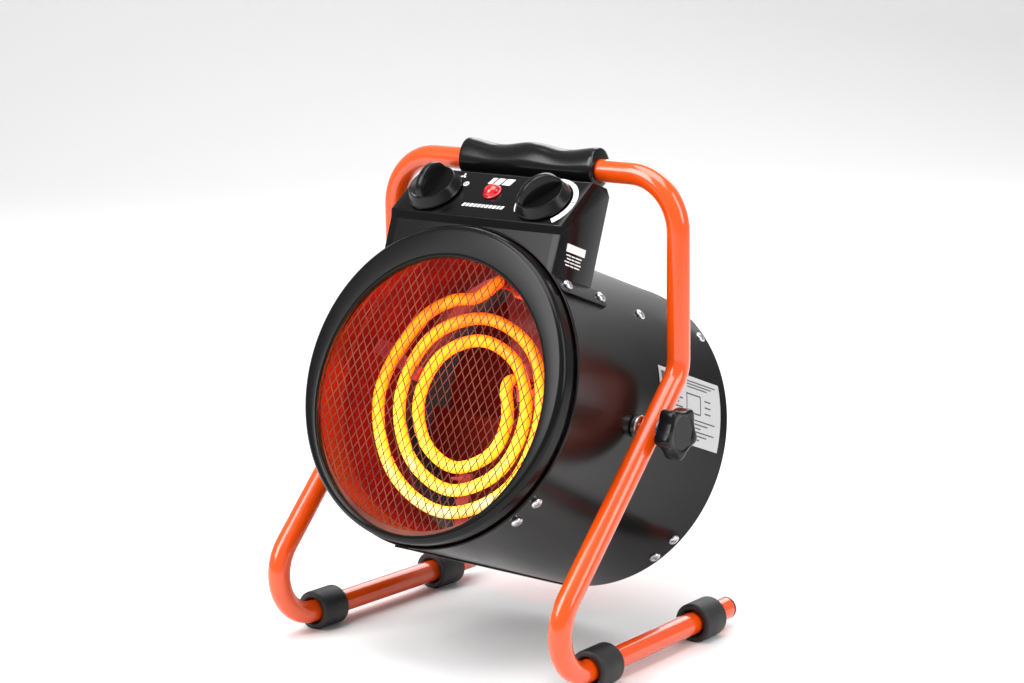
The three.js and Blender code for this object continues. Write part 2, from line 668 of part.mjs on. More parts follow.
// Cross strap that carries the motor, its feet spot-welded inside the grille's skirt.
function motorBracket() {
  const reach = INSIDE_R - GRILLE_SHEET - 2 * GAP - 2.4;
  const half = BRACKET_WIDTH / 2;
  const front = BRACKET_BACK - BRACKET_SHEET;
  const strap = block(-half, half, front, BRACKET_BACK, -reach, reach);
  const feet = [1, -1].map((sign) => {
    const z = sign * (reach - BRACKET_SHEET);
    const edge = sign * reach;
    return solid(block(-half, half, front, front + 12, Math.min(z, edge), Math.max(z, edge)));
  });
  return joined(solid(strap), ...feet);
}

const MOTOR_BACK = BRACKET_BACK - BRACKET_SHEET - GAP;
const MOTOR_FRONT = MOTOR_BACK - MOTOR_LENGTH;
const SHAFT_BACK = MOTOR_BACK - 6;
const SHAFT_FRONT = FAN_PLANE - HUB_LENGTH / 2 - 4;

function fanMotor() {
  const nose = 10;
  const bore = SHAFT_R + FIT;
  return turned([
    [0, MOTOR_BACK], [MOTOR_R - 3, MOTOR_BACK], [MOTOR_R, MOTOR_BACK - 3], [MOTOR_R, MOTOR_FRONT + 6],
    [MOTOR_R - 3, MOTOR_FRONT + 3], [nose, MOTOR_FRONT + 3], [nose, MOTOR_FRONT], [bore, MOTOR_FRONT],
    [bore, SHAFT_BACK + GAP], [0, SHAFT_BACK + GAP],
  ], 24);
}

// Axial fan: pitched blades on a bored hub.
function fanRotor() {
  const back = FAN_PLANE + HUB_LENGTH / 2;
  const front = FAN_PLANE - HUB_LENGTH / 2;
  const hub = solid(ringShape(HUB_R, SHAFT_R + GAP / 2, front, back, 24));
  const spread = 0.42;
  const blades = Array.from({ length: FAN_BLADES }, (_, i) => {
    const outline = new THREE.Shape();
    outline.moveTo(HUB_R - 4, -9);
    const tip = new THREE.Vector2(FAN_R * Math.cos(spread), -FAN_R * Math.sin(spread));
    outline.quadraticCurveTo(FAN_R * 0.55, -FAN_R * 0.3, tip.x, tip.y);
    outline.absarc(0, 0, FAN_R, -spread, spread * 0.6, false);
    outline.quadraticCurveTo(FAN_R * 0.5, 16, HUB_R - 4, 7);
    outline.closePath();
    const blade = plate(outline, 1.4, 5).translate(0, 0, -0.7).rotateX(Math.PI / 2 + FAN_PITCH);
    return solid(blade.rotateY(2 * Math.PI * i / FAN_BLADES).translate(0, FAN_PLANE, 0));
  });
  const bore = solid(bar(SHAFT_R + GAP / 2, front - 1, back + 1, 24));
  return cut(joined(hub, ...blades), bore);
}

function buildFan(drum) {
  piece(drum, 'rear_grille', rearGrille(), blackEnamel);
  piece(drum, 'motor_bracket', motorBracket(), brightSteel);
  piece(drum, 'fan_motor', fanMotor(), darkSteel);
  piece(drum, 'motor_shaft', bar(SHAFT_R, SHAFT_FRONT, SHAFT_BACK, 24), brightSteel);
  piece(drum, 'fan_rotor', fanRotor(), fanMetal);
}

// ---------------------------------------------------------------- control box

// Outline of the box seen from its side, each edge moved in by the same amount.
function boxOutline(inset) {
  const corners = [
    [BOX_FRONT, 0], [BOX_FRONT, KNEE.up - 6], [KNEE.forward, KNEE.up], [CREST.forward, CREST.up],
    [BOX_REAR + BOX_CHAMFER, CREST.up], [BOX_REAR, CREST.up - BOX_CHAMFER], [BOX_REAR, 0],
  ].map(([forward, up]) => new THREE.Vector2(-forward, up));
  const moved = corners.map((corner, i) => {
    if (i === 0) return corner.clone().add(new THREE.Vector2(inset, 0));
    if (i === corners.length - 1) return corner.clone().add(new THREE.Vector2(-inset, 0));
    const before = corner.clone().sub(corners[i - 1]).normalize();
    const after = corners[i + 1].clone().sub(corner).normalize();
    const inward = (d) => new THREE.Vector2(d.y, -d.x);
    const bisector = inward(before).add(inward(after)).normalize();
    return corner.clone().addScaledVector(bisector, inset / bisector.dot(inward(before)));
  });
  return new THREE.Shape(moved);
}

// An outline drawn in Y and Z, extruded along X about the middle.
function crosswise(shape, halfWidth) {
  return plate(shape, 2 * halfWidth).rotateY(Math.PI / 2).rotateX(Math.PI / 2).translate(-halfWidth, 0, 0);
}

const PANEL_LEAN = Math.atan2(KNEE.forward - CREST.forward, CREST.up - KNEE.up);
const PANEL_MIDDLE = new THREE.Vector3(0, -(KNEE.forward + CREST.forward) / 2, (KNEE.up + CREST.up) / 2);
const KNOB_ALONG_PANEL = -1.5;   // the knobs sit a little below the panel's middle
const LAMP_ALONG_PANEL = 3;

// Places a shape made about the panel's own axes: X across, Y up the slope, Z out of the panel.
function onPanel(geometry) {
  const { x, y, z } = PANEL_MIDDLE;
  return geometry.rotateX(Math.PI / 2 - PANEL_LEAN).translate(x, y, z);
}

function upright(radius, z0, z1, segments = 16) {
  return bar(radius, z0, z1, segments).rotateX(Math.PI / 2);
}

// Folded cover: skirt, sloping panel, top and back in one sheet, two cheeks with flanges on the drum.
function controlCover() {
  const outer = solid(crosswise(boxOutline(0), BOX_HALF_WIDTH));
  const inner = solid(crosswise(boxOutline(BOX_SHEET), BOX_HALF_WIDTH - BOX_SHEET));
  const seat = DRUM_R + GAP;
  const drumClear = solid(bar(seat, -DRUM_FRONT - 10, DRUM_REAR, 48));
  const from = Math.asin((BOX_HALF_WIDTH - BOX_SHEET) / (seat + BOX_SHEET / 2));
  const to = from + (FLANGE_WIDTH + BOX_SHEET) / DRUM_R / Math.cos(from);
  const flanges = [1, -1].map((sign) => {
    const [a, b] = sign > 0 ? [from, to] : [-to, -from];
    const strip = sector(seat, seat + BOX_SHEET, Math.PI / 2 - b, Math.PI / 2 - a, 4);
    const length = BOX_FRONT - BOX_REAR + FLANGE_TAIL;
    return solid(frontPlate(strip, -BOX_FRONT, length));
  });
  const panelHoles = [
    ...[1, -1].map((sign) => upright(SPINDLE_R + FIT + 1, -6, 6)
      .translate(sign * KNOB_SPACING, KNOB_ALONG_PANEL, 0)),
    upright(LAMP_R - 1 + FIT, -6, 6).translate(0, LAMP_ALONG_PANEL, 0),
  ].map((hole) => solid(onPanel(hole)));
  const glandHole = solid(bar(GLAND_R + FIT, -BOX_REAR - 6, -BOX_REAR + 6)
    .translate(GLAND_AT.across, 0, DRUM_R + GLAND_AT.aboveDrum));
  const shell = cut(outer, inner, drumClear);
  return cut(joined(shell, ...flanges), ...panelHoles, glandHole, holes);
}

// Body of a rotary control behind the panel: a block with a threaded neck and a bore for the spindle.
function rotaryBody({ width, depth, height }) {
  const top = -BOX_SHEET - GAP;
  const body = block(-width / 2, width / 2, -depth / 2, depth / 2, top - height, top);
  const bore = upright(SPINDLE_R + FIT, top - height + 4, 10);
  return cut(solid(body), solid(bore));
}

// Skirted knob with a finger bar across it.
function turnKnob() {
  const base = 1;
  const top = base + KNOB_HEIGHT;
  const body = turned([
    [0, base], [KNOB_R + 0.4, base], [KNOB_R, base + 1.5], [KNOB_RIM_R, top - 0.6],
    [KNOB_RIM_R - 0.6, top], [0, top],
  ], 32).rotateX(Math.PI / 2);
  const half = KNOB_RIM_R - 0.8;
  const arch = new THREE.Shape();
  const facets = 14;
  for (let i = 0; i <= facets; i++) {
    const a = Math.PI * i / facets;
    const x = half * Math.cos(a);
    const y = KNOB_BAR_HEIGHT * Math.pow(Math.sin(a), 0.9);
    if (i === 0) arch.moveTo(half, -0.6);
    arch.lineTo(x, y);
  }
  arch.lineTo(-half, -0.6);
  arch.closePath();
  const finger = new THREE.ExtrudeGeometry(arch, { depth: KNOB_BAR_WIDTH, bevelEnabled: false });
  const ridge = finger.translate(0, 0, -KNOB_BAR_WIDTH / 2).rotateX(Math.PI / 2).translate(0, 0, top);
  const bore = upright(SPINDLE_R + GAP, base - 1, top - 2);
  return cut(joined(solid(body), solid(ridge)), solid(bore));
}

function spindle(height) {
  const foot = -BOX_SHEET - GAP - height + 4 + GAP;
  return upright(SPINDLE_R, foot, 1 + KNOB_HEIGHT - 2 - GAP);
}

// Pilot lamp: a domed lens on a collar, with its holder behind the panel.
function pilotLamp() {
  const neck = LAMP_R - 1;
  return turned([
    [0, -18], [neck, -18], [neck, GAP], [LAMP_R + 0.6, GAP], [LAMP_R + 0.6, 1.2], [LAMP_R - 0.4, 2.6],
    [LAMP_R * 0.7, 4.4], [LAMP_R * 0.35, 5.4], [0, 5.7],
  ], 16).rotateX(Math.PI / 2);
}

// Terminal block with a row of wire holes.
function terminalBlock() {
  const { width, depth, height } = TERMINALS;
  const base = DRUM_R + 2;
  const y0 = -BOX_REAR - BOX_SHEET - GAP - depth;
  const body = block(-width / 2, width / 2, y0, y0 + depth, base, base + height);
  const wires = [-15, -5, 5, 15].map((x) => {
    const hole = new THREE.CylinderGeometry(2, 2, 6, 8).rotateX(Math.PI / 2)
      .translate(x, y0 + depth / 2, base + height);
    return solid(hole);
  });
  return cut(solid(body), ...wires);
}

// Bored cable gland in the box's back, with a collar inside and a ribbed nose outside.
function cableGland() {
  const wall = -BOX_REAR;
  const bore = 4;
  return turned([
    [bore, wall - 7], [GLAND_R, wall - 7], [GLAND_R, wall + GAP], [GLAND_R + 2.5, wall + GAP],
    [GLAND_R + 2.5, wall + 5], [GLAND_R + 0.5, wall + 6], [GLAND_R + 0.5, wall + 10], [bore + 1, wall + 13],
    [bore, wall + 13], [bore, wall - 7],
  ], 16).translate(GLAND_AT.across, 0, DRUM_R + GLAND_AT.aboveDrum);
}

// Snap-action cutout on the liner's outside, under the control box.
function thermalCutout() {
  const foot = SHIELD_R + GAP + 0.4;
  const can = bar(7, foot, INSIDE_R - 2, 20).rotateX(Math.PI / 2);
  return onDrum(can, -22, 20);
}

function buildControls(drum) {
  piece(drum, 'control_cover', controlCover(), blackEnamel);
  const panel = new THREE.Group();
  panel.position.copy(PANEL_MIDDLE);
  panel.rotation.x = Math.PI / 2 - PANEL_LEAN;
  drum.add(panel);
  const controls = [
    { word: 'mode', side: -1, body: 'mode_switch', size: SWITCH, heading: 90 },
    { word: 'thermostat', side: 1, body: 'thermostat', size: THERMOSTAT, heading: 58 },
  ];
  for (const { word, side, body, size, heading } of controls) {
    const place = (mesh) => mesh.position.set(side * KNOB_SPACING, KNOB_ALONG_PANEL, 0);
    place(piece(panel, body, rotaryBody(size), switchBlack));
    place(piece(panel, `${word}_spindle`, spindle(size.height), zincSteel));
    const knob = piece(panel, `${word}_knob`, turnKnob(), blackPlastic);
    place(knob);
    knob.rotation.z = THREE.MathUtils.degToRad(heading);
  }
  piece(panel, 'pilot_lamp', pilotLamp(), redLens).position.y = LAMP_ALONG_PANEL;
  piece(drum, 'terminal_block', terminalBlock(), whiteCeramic);
  piece(drum, 'cable_gland', cableGland(), blackPlastic);
  piece(drum, 'thermal_cutout', thermalCutout(), zincSteel);
}

// ---------------------------------------------------------------- fasteners and label

// Pan-head screw whose seat is at the given radius of the drum.
function panScrew(seat) {
  const head = seat + GAP;
  return turned([
    [0, head - SCREW_LENGTH], [SCREW_R, head - SCREW_LENGTH], [SCREW_R, head], [SCREW_HEAD_R, head],
    [SCREW_HEAD_R, head + SCREW_HEAD * 0.5], [SCREW_HEAD_R * 0.7, head + SCREW_HEAD], [0, head + SCREW_HEAD],
  ], 8).rotateX(Math.PI / 2);
}

function buildScrews(drum) {
  for (const { word, sign } of SIDES) {
    for (const { name, forward, angle, on } of SCREWS) {
      const seat = on === 'flange' ? DRUM_R + GAP + BOX_SHEET : DRUM_R;
      piece(drum, `screw_${name}_${word}`, onDrum(panScrew(seat), sign * angle, forward), zincSteel);
    }
  }
}

function buildLabel(drum) {
  const inner = DRUM_R + GAP;
  const fromTop = (degrees) => Math.PI / 2 - THREE.MathUtils.degToRad(degrees);
  const strip = sector(inner, inner + LABEL.thickness, fromTop(LABEL.bottom), fromTop(LABEL.top), 8);
  piece(drum, 'rating_label', frontPlate(strip, LABEL.front, LABEL.back - LABEL.front), labelFilm);
}

// ---------------------------------------------------------------- side clamps
// Each is made along +X at the pivot and turned about for the left side.

const INNER_FACE = STAND_HALF_WIDTH - TUBE_R - GAP;
const OUTER_FACE = STAND_HALF_WIDTH + TUBE_R + GAP;
const KNOB_BACK = OUTER_FACE + WASHER_SHEET + GAP;
const STUD_TIP = KNOB_BACK + STAR_NECK + STAR_DEPTH - 4;

const alongX = (geometry) => geometry.rotateZ(-Math.PI / 2);

function clampStud() {
  const head = DRUM_BORE - 1;
  return alongX(turned([
    [0, head - 3.5], [6, head - 3.5], [6, head], [STUD_R, head],
    [STUD_R, STUD_TIP - 1], [STUD_R - 1, STUD_TIP],
    [0, STUD_TIP],
  ], 16));
}

// Lobed hand knob with a neck behind it and a blind bore for the stud.
function starKnob() {
  const lobes = new THREE.Shape();
  const points = 30;
  for (let i = 0; i <= points; i++) {
    const a = 2 * Math.PI * i / points;
    const swell = 0.5 + 0.5 * Math.cos(STAR_LOBES * (a - THREE.MathUtils.degToRad(STAR_TURN)));
    const r = STAR_ROOT + (STAR_R - STAR_ROOT) * Math.pow(swell, 1.6);
    if (i === 0) lobes.moveTo(r, 0);
    else if (i < points) lobes.lineTo(r * Math.cos(a), r * Math.sin(a));
  }
  lobes.closePath();
  const bevel = 1.5;
  const body = new THREE.ExtrudeGeometry(lobes, {
    depth: STAR_DEPTH - 2 * bevel,
    bevelThickness: bevel, bevelSize: bevel, bevelOffset: -bevel, bevelSegments: 1,
  }).rotateY(Math.PI / 2).translate(KNOB_BACK + STAR_NECK + bevel, 0, 0);
  const neck = alongX(bar(WASHER_R - 0.5, KNOB_BACK, KNOB_BACK + STAR_NECK + 1, 16));
  const face = KNOB_BACK + STAR_NECK + STAR_DEPTH;
  const dish = alongX(bar(STAR_DISH_R, face - 0.8, face + 1, 20));
  const bore = alongX(bar(STUD_R + GAP, KNOB_BACK - 1, STUD_TIP + GAP, 16));
  return cut(joined(solid(body), solid(neck)), solid(dish), solid(bore));
}

function buildClamps(drum) {
  const bored = STUD_R + GAP;
  for (const { word, sign } of SIDES) {
    const side = new THREE.Group();
    side.rotation.z = sign > 0 ? 0 : Math.PI;
    drum.add(side);
    piece(side, `clamp_stud_${word}`, clampStud(), zincSteel);
    const spacer = ringShape(SPACER_R, bored, DRUM_R + GAP, INNER_FACE, 20);
    piece(side, `pivot_spacer_${word}`, alongX(spacer), zincSteel);
    const washer = ringShape(WASHER_R, bored, OUTER_FACE, OUTER_FACE + WASHER_SHEET, 20);
    piece(side, `clamp_washer_${word}`, alongX(washer), zincSteel);
    piece(side, `star_knob_${word}`, starKnob(), blackPlastic);
  }
}

// ---------------------------------------------------------------- assembly

const heater = new THREE.Group();
buildStand(heater);

const drum = new THREE.Group();
drum.position.z = PIVOT_HEIGHT;
drum.rotation.x = -TILT;
heater.add(drum);
buildFront(drum);
buildFan(drum);
buildControls(drum);
buildScrews(drum);
buildLabel(drum);
buildClamps(drum);

// The whole stands with the middle of its footprint at the origin.
heater.updateMatrixWorld(true);
const middle = new THREE.Box3().setFromObject(heater, true).getCenter(new THREE.Vector3());
const group = new THREE.Group();
heater.position.set(-middle.x, -middle.y, 0);
group.add(heater);

export default group;
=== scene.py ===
"""Portable drum fan heater: a black steel drum with a glowing spiral element, a control box on its
back and a bent orange tube stand that is foot and handle in one."""

import json
import math

import bmesh
import bpy
from mathutils import Matrix, Vector

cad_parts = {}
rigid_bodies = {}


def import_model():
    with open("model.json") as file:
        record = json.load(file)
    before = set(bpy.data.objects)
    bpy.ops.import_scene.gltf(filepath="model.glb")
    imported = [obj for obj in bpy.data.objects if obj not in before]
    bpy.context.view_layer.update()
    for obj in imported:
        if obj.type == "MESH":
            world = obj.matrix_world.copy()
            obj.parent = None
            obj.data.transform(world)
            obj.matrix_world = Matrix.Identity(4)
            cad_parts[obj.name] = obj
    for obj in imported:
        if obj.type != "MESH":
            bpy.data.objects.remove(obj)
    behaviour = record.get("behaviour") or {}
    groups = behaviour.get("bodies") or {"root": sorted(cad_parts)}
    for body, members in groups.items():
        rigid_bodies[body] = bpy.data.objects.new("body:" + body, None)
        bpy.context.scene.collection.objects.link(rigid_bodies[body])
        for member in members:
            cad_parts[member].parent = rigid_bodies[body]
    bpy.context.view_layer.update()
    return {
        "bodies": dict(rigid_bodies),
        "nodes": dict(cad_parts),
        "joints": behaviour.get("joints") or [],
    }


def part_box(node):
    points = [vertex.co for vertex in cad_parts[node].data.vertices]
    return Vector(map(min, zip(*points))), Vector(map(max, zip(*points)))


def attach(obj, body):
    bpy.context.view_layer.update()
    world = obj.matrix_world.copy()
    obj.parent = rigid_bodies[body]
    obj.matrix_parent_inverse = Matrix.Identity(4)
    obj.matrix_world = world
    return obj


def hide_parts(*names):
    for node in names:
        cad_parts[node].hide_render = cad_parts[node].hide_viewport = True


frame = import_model()
MM = 0.001

# ------------------------------------------------------------------ camera
# A long lens two metres away, a little to the right of the hot-air mouth and just above it.
pivot = Vector(next(j for j in frame["joints"] if j["name"] == "drum_tilt")["pos_m"])
CAMERA_AZIMUTH = math.radians(37.72)
CAMERA_ELEVATION = math.radians(11.17)
CAMERA_ROLL = math.radians(-0.83)
CAMERA_DISTANCE = 2.0
CAMERA_LENS = 98.85
FILM_WIDTH = 36
AIM_FROM_PIVOT = Vector((-0.0205, 0.0347, 0.0383))

camera = bpy.data.objects.new("camera", bpy.data.cameras.new("camera"))
bpy.context.scene.collection.objects.link(camera)
camera.data.lens = CAMERA_LENS
camera.data.sensor_width = FILM_WIDTH
camera.data.clip_start = 0.01
facing = Matrix.Rotation(CAMERA_AZIMUTH, 4, "Z") @ Matrix.Rotation(math.pi / 2 - CAMERA_ELEVATION, 4, "X")
facing = facing @ Matrix.Rotation(CAMERA_ROLL, 4, "Z")
aim = pivot + AIM_FROM_PIVOT
camera.matrix_world = Matrix.Translation(aim) @ facing @ Matrix.Translation((0, 0, CAMERA_DISTANCE))
bpy.context.scene.camera = camera

# ------------------------------------------------------------------ tube stand
# One 16 mm steel tube bent cold into two feet, two sloping legs and the top bar, powder coated in
# glossy orange. The far corners of the solid give its run, the bends are its maker's.


def build_surface_skin():
    """A broad patchiness of tone and gloss, settled dust and a fine grain. Paint, plastic, rubber
    and plated steel all take it, and each material sets how much."""
    group = bpy.data.node_groups.new("surface_skin", "ShaderNodeTree")
    wanted = (
        ("Colour", "NodeSocketColor", (0.5, 0.5, 0.5, 1)),
        ("Patch Colour", "NodeSocketColor", (0.4, 0.4, 0.4, 1)),
        ("Patch Size", "NodeSocketFloat", 20.0),
        ("Patch Amount", "NodeSocketFloat", 0.5),
        ("Grain Size", "NodeSocketFloat", 900.0),
        ("Grain Depth", "NodeSocketFloat", 0.1),
        ("Gloss Low", "NodeSocketFloat", 0.3),
        ("Gloss High", "NodeSocketFloat", 0.4),
        ("Dust Colour", "NodeSocketColor", (0.3, 0.3, 0.3, 1)),
        ("Dust Amount", "NodeSocketFloat", 0.0),
    )
    for name, kind, value in wanted:
        socket = group.interface.new_socket(name, in_out="INPUT", socket_type=kind)
        socket.default_value = value
    made = (("Colour", "NodeSocketColor"), ("Roughness", "NodeSocketFloat"), ("Height", "NodeSocketFloat"))
    for name, kind in made:
        group.interface.new_socket(name, in_out="OUTPUT", socket_type=kind)
    nodes, links = group.nodes, group.links
    given = nodes.new("NodeGroupInput")
    result = nodes.new("NodeGroupOutput")
    place = nodes.new("ShaderNodeTexCoord")
    patches = nodes.new("ShaderNodeTexNoise")
    patches.inputs["Detail"].default_value = 5
    patches.inputs["Roughness"].default_value = 0.6
    links.new(place.outputs["Object"], patches.inputs["Vector"])
    links.new(given.outputs["Patch Size"], patches.inputs["Scale"])
    amount = nodes.new("ShaderNodeMath")
    amount.operation = "MULTIPLY"
    links.new(patches.outputs["Fac"], amount.inputs[0])
    links.new(given.outputs["Patch Amount"], amount.inputs[1])
    tone = nodes.new("ShaderNodeMix")
    tone.data_type = "RGBA"
    links.new(amount.outputs[0], tone.inputs["Factor"])
    links.new(given.outputs["Colour"], tone.inputs["A"])
    links.new(given.outputs["Patch Colour"], tone.inputs["B"])
    specks = nodes.new("ShaderNodeTexNoise")
    specks.inputs["Scale"].default_value = 260
    specks.inputs["Detail"].default_value = 3
    links.new(place.outputs["Object"], specks.inputs["Vector"])
    sparse = nodes.new("ShaderNodeMapRange")
    sparse.inputs["From Min"].default_value = 0.62
    sparse.inputs["From Max"].default_value = 0.78
    links.new(specks.outputs["Fac"], sparse.inputs["Value"])
    settled = nodes.new("ShaderNodeMath")
    settled.operation = "MULTIPLY"
    links.new(sparse.outputs["Result"], settled.inputs[0])
    links.new(given.outputs["Dust Amount"], settled.inputs[1])
    dusted = nodes.new("ShaderNodeMix")
    dusted.data_type = "RGBA"
    links.new(settled.outputs[0], dusted.inputs["Factor"])
    links.new(tone.outputs["Result"], dusted.inputs["A"])
    links.new(given.outputs["Dust Colour"], dusted.inputs["B"])
    links.new(dusted.outputs["Result"], result.inputs["Colour"])
    gloss = nodes.new("ShaderNodeMapRange")
    links.new(patches.outputs["Fac"], gloss.inputs["Value"])
    gloss.inputs["From Min"].default_value = 0.3
    gloss.inputs["From Max"].default_value = 0.7
    links.new(given.outputs["Gloss Low"], gloss.inputs["To Min"])
    links.new(given.outputs["Gloss High"], gloss.inputs["To Max"])
    links.new(gloss.outputs["Result"], result.inputs["Roughness"])
    grain = nodes.new("ShaderNodeTexNoise")
    grain.inputs["Detail"].default_value = 2
    links.new(place.outputs["Object"], grain.inputs["Vector"])
    links.new(given.outputs["Grain Size"], grain.inputs["Scale"])
    raised = nodes.new("ShaderNodeMath")
    raised.operation = "MULTIPLY"
    links.new(grain.outputs["Fac"], raised.inputs[0])
    links.new(given.outputs["Grain Depth"], raised.inputs[1])
    links.new(raised.outputs[0], result.inputs["Height"])
    return group


surface_skin = build_surface_skin()


def skinned_material(name, colour, patch, metallic=0.0, ior=1.5, coat=0.0, bump=0.0004, **skin):
    """A material whose colour, gloss and grain all come from the surface skin."""
    material = bpy.data.materials.new(name)
    material.use_nodes = True
    nodes, links = material.node_tree.nodes, material.node_tree.links
    shader = nodes["Principled BSDF"]
    shader.inputs["Metallic"].default_value = metallic
    shader.inputs["IOR"].default_value = ior
    shader.inputs["Coat Weight"].default_value = coat
    shader.inputs["Coat Roughness"].default_value = 0.08
    group = nodes.new("ShaderNodeGroup")
    group.node_tree = surface_skin
    group.inputs["Colour"].default_value = (*colour, 1)
    group.inputs["Patch Colour"].default_value = (*patch, 1)
    for key, value in skin.items():
        group.inputs[key.replace("_", " ").title()].default_value = value
    relief = nodes.new("ShaderNodeBump")
    relief.inputs["Distance"].default_value = bump
    links.new(group.outputs["Colour"], shader.inputs["Base Color"])
    links.new(group.outputs["Roughness"], shader.inputs["Roughness"])
    links.new(group.outputs["Height"], relief.inputs["Height"])
    links.new(relief.outputs["Normal"], shader.inputs["Normal"])
    return material


ORANGE = (0.80, 0.078, 0.002)
ORANGE_DEEP = (0.74, 0.056, 0.001)
orange_coat = skinned_material(
    "orange_powder_coat", ORANGE, ORANGE_DEEP, coat=0.6, bump=0.00003,
    patch_size=14.0, patch_amount=0.55, grain_size=620.0, grain_depth=0.25, gloss_low=0.16, gloss_high=0.24,
)
TUBE_R = 8 * MM
LEG_LEAN = math.radians(44.5)
LEG_ABOVE_PIVOT = 47 * MM
FOOT_BEND, KNEE_BEND, TOP_BEND = 32 * MM, 24 * MM, 38 * MM
FOOT_TOE_IN = 7 * MM


def placed(name, mesh, matrix=None, smooth=40):
    """Puts a mesh in the scene with soft shading that breaks at real edges."""
    mesh.update()
    piece = bpy.data.objects.new(name, mesh)
    bpy.context.scene.collection.objects.link(piece)
    mesh.shade_smooth()
    mesh.set_sharp_from_angle(angle=math.radians(smooth))
    if matrix is not None:
        piece.matrix_world = matrix
    return piece


def mesh_from(name, points, faces):
    """A mesh in metres from points in metres, its faces turned outwards."""
    form = bmesh.new()
    corners = [form.verts.new(p) for p in points]
    for face in faces:
        form.faces.new([corners[i] for i in face])
    bmesh.ops.recalc_face_normals(form, faces=form.faces)
    mesh = bpy.data.meshes.new(name)
    form.to_mesh(mesh)
    form.free()
    return mesh


def rounded_run(corners, bends, steps=14):
    """Points along straight runs joined by arcs."""
    run = [corners[0].copy()]
    for i, bend in enumerate(bends, start=1):
        into = (corners[i] - corners[i - 1]).normalized()
        out = (corners[i + 1] - corners[i]).normalized()
        turn = into.angle(out)
        reach = bend * math.tan(turn / 2)
        axis = into.cross(out).normalized()
        start = corners[i] - into * reach
        centre = start + axis.cross(into) * bend
        for k in range(steps + 1):
            run.append(centre + Matrix.Rotation(turn * k / steps, 3, axis) @ (start - centre))
    run.append(corners[-1].copy())
    return run


def swept_rod(name, run, radius, sides=28, closed_ends=True):
    """A round rod along a run of points; radius is one size or a size for each point."""
    points, faces = [], []
    forward = (run[1] - run[0]).normalized()
    side = forward.orthogonal().normalized()
    for i, centre in enumerate(run):
        ahead = run[min(i + 1, len(run) - 1)] - run[max(i - 1, 0)]
        ahead.normalize()
        side = (side - ahead * side.dot(ahead)).normalized()
        across = ahead.cross(side)
        size = radius[i] if isinstance(radius, (list, tuple)) else radius
        for k in range(sides):
            a = 2 * math.pi * k / sides
            points.append(centre + side * (size * math.cos(a)) + across * (size * math.sin(a)))
    for i in range(len(run) - 1):
        for k in range(sides):
            j = (k + 1) % sides
            faces.append((i * sides + k, i * sides + j, (i + 1) * sides + j, (i + 1) * sides + k))
    if closed_ends:
        faces.append(tuple(range(sides)))
        last = (len(run) - 1) * sides
        faces.append(tuple(last + k for k in range(sides)))
    return mesh_from(name, points, faces)


def finish_piece(piece, material, body, slot, *stands_for):
    """Gives a piece its material, its body and the solids it stands for, which it hides. The slot is not
    used.
    """
    piece.data.materials.clear()
    piece.data.materials.append(material)
    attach(piece, body)
    if stands_for:
        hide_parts(*stands_for)
    return piece


tube_low, tube_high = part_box("stand_tube")
leg_x = tube_high.x - TUBE_R
foot_z = tube_low.z + TUBE_R
PLUG_DOME = 3.8 * MM
foot_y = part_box("foot_plug_right")[1].y - PLUG_DOME
bar_z = tube_high.z - TUBE_R
bar_y = pivot.y + LEG_ABOVE_PIVOT * math.sin(LEG_LEAN)
leg_down = (pivot.z - foot_z) / math.cos(LEG_LEAN)
foot_front = pivot.y - leg_down * math.sin(LEG_LEAN)
knee_z = pivot.z + LEG_ABOVE_PIVOT * math.cos(LEG_LEAN)
toe_angle = math.atan2(FOOT_TOE_IN, foot_y - foot_front)


def stand_side(sign):
    return [
        Vector((sign * (leg_x - FOOT_TOE_IN), foot_y, foot_z)),
        Vector((sign * leg_x, foot_front, foot_z)),
        Vector((sign * leg_x, bar_y, knee_z)),
        Vector((sign * leg_x, bar_y, bar_z)),
    ]


stand_run = rounded_run(
    stand_side(1) + stand_side(-1)[::-1],
    [FOOT_BEND, KNEE_BEND, TOP_BEND, TOP_BEND, KNEE_BEND, FOOT_BEND],
)
stand = placed("stand_tube_coated", swept_rod("stand_tube_coated", stand_run, TUBE_R, sides=40))
finish_piece(stand, orange_coat, "stand", "orange_powder_coat", "stand_tube")

# ------------------------------------------------------------------ finger grip
# A black moulded sleeve pushed over the top bar. Its upper side rises in three swells for the
# fingers, and both ends are turned in to a plain rim.
black_moulding = skinned_material(
    "black_moulded_plastic", (0.003, 0.003, 0.0032), (0.005, 0.005, 0.0052), ior=1.4, bump=0.00002,
    patch_size=22.0, patch_amount=0.5, grain_size=1500.0, grain_depth=0.3, gloss_low=0.13, gloss_high=0.2,
)
GRIP_R = 12.5 * MM
GRIP_SWELL = 3.2 * MM
GRIP_RIM = 2.2 * MM
GRIP_BORE = TUBE_R + 0.35 * MM
grip_low, grip_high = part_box("handle_grip")
grip_length = grip_high.x - grip_low.x
grip_steps, grip_sides = 96, 56
grip_points, grip_faces = [], []
for i in range(grip_steps + 1):
    t = i / grip_steps
    x = grip_low.x + grip_length * t
    near_end = min(t, 1 - t) * grip_length
    tuck = 0.0
    if near_end < GRIP_RIM:
        tuck = GRIP_RIM - math.sqrt(max(GRIP_RIM * GRIP_RIM - (GRIP_RIM - near_end) ** 2, 0))
    swell = GRIP_SWELL * (0.5 + 0.5 * math.cos(4 * math.pi * (t - 0.5)))
    for k in range(grip_sides):
        a = 2 * math.pi * k / grip_sides
        lift = max(0.0, math.sin(a)) * swell
        ring = GRIP_R - tuck
        grip_z = bar_z + ring * math.sin(a) + lift * (ring / GRIP_R)
        grip_points.append((x, bar_y + ring * math.cos(a), grip_z))
bore_start = len(grip_points)
for x in (grip_low.x, grip_high.x):
    for k in range(grip_sides):
        a = 2 * math.pi * k / grip_sides
        grip_points.append((x, bar_y + GRIP_BORE * math.cos(a), bar_z + GRIP_BORE * math.sin(a)))
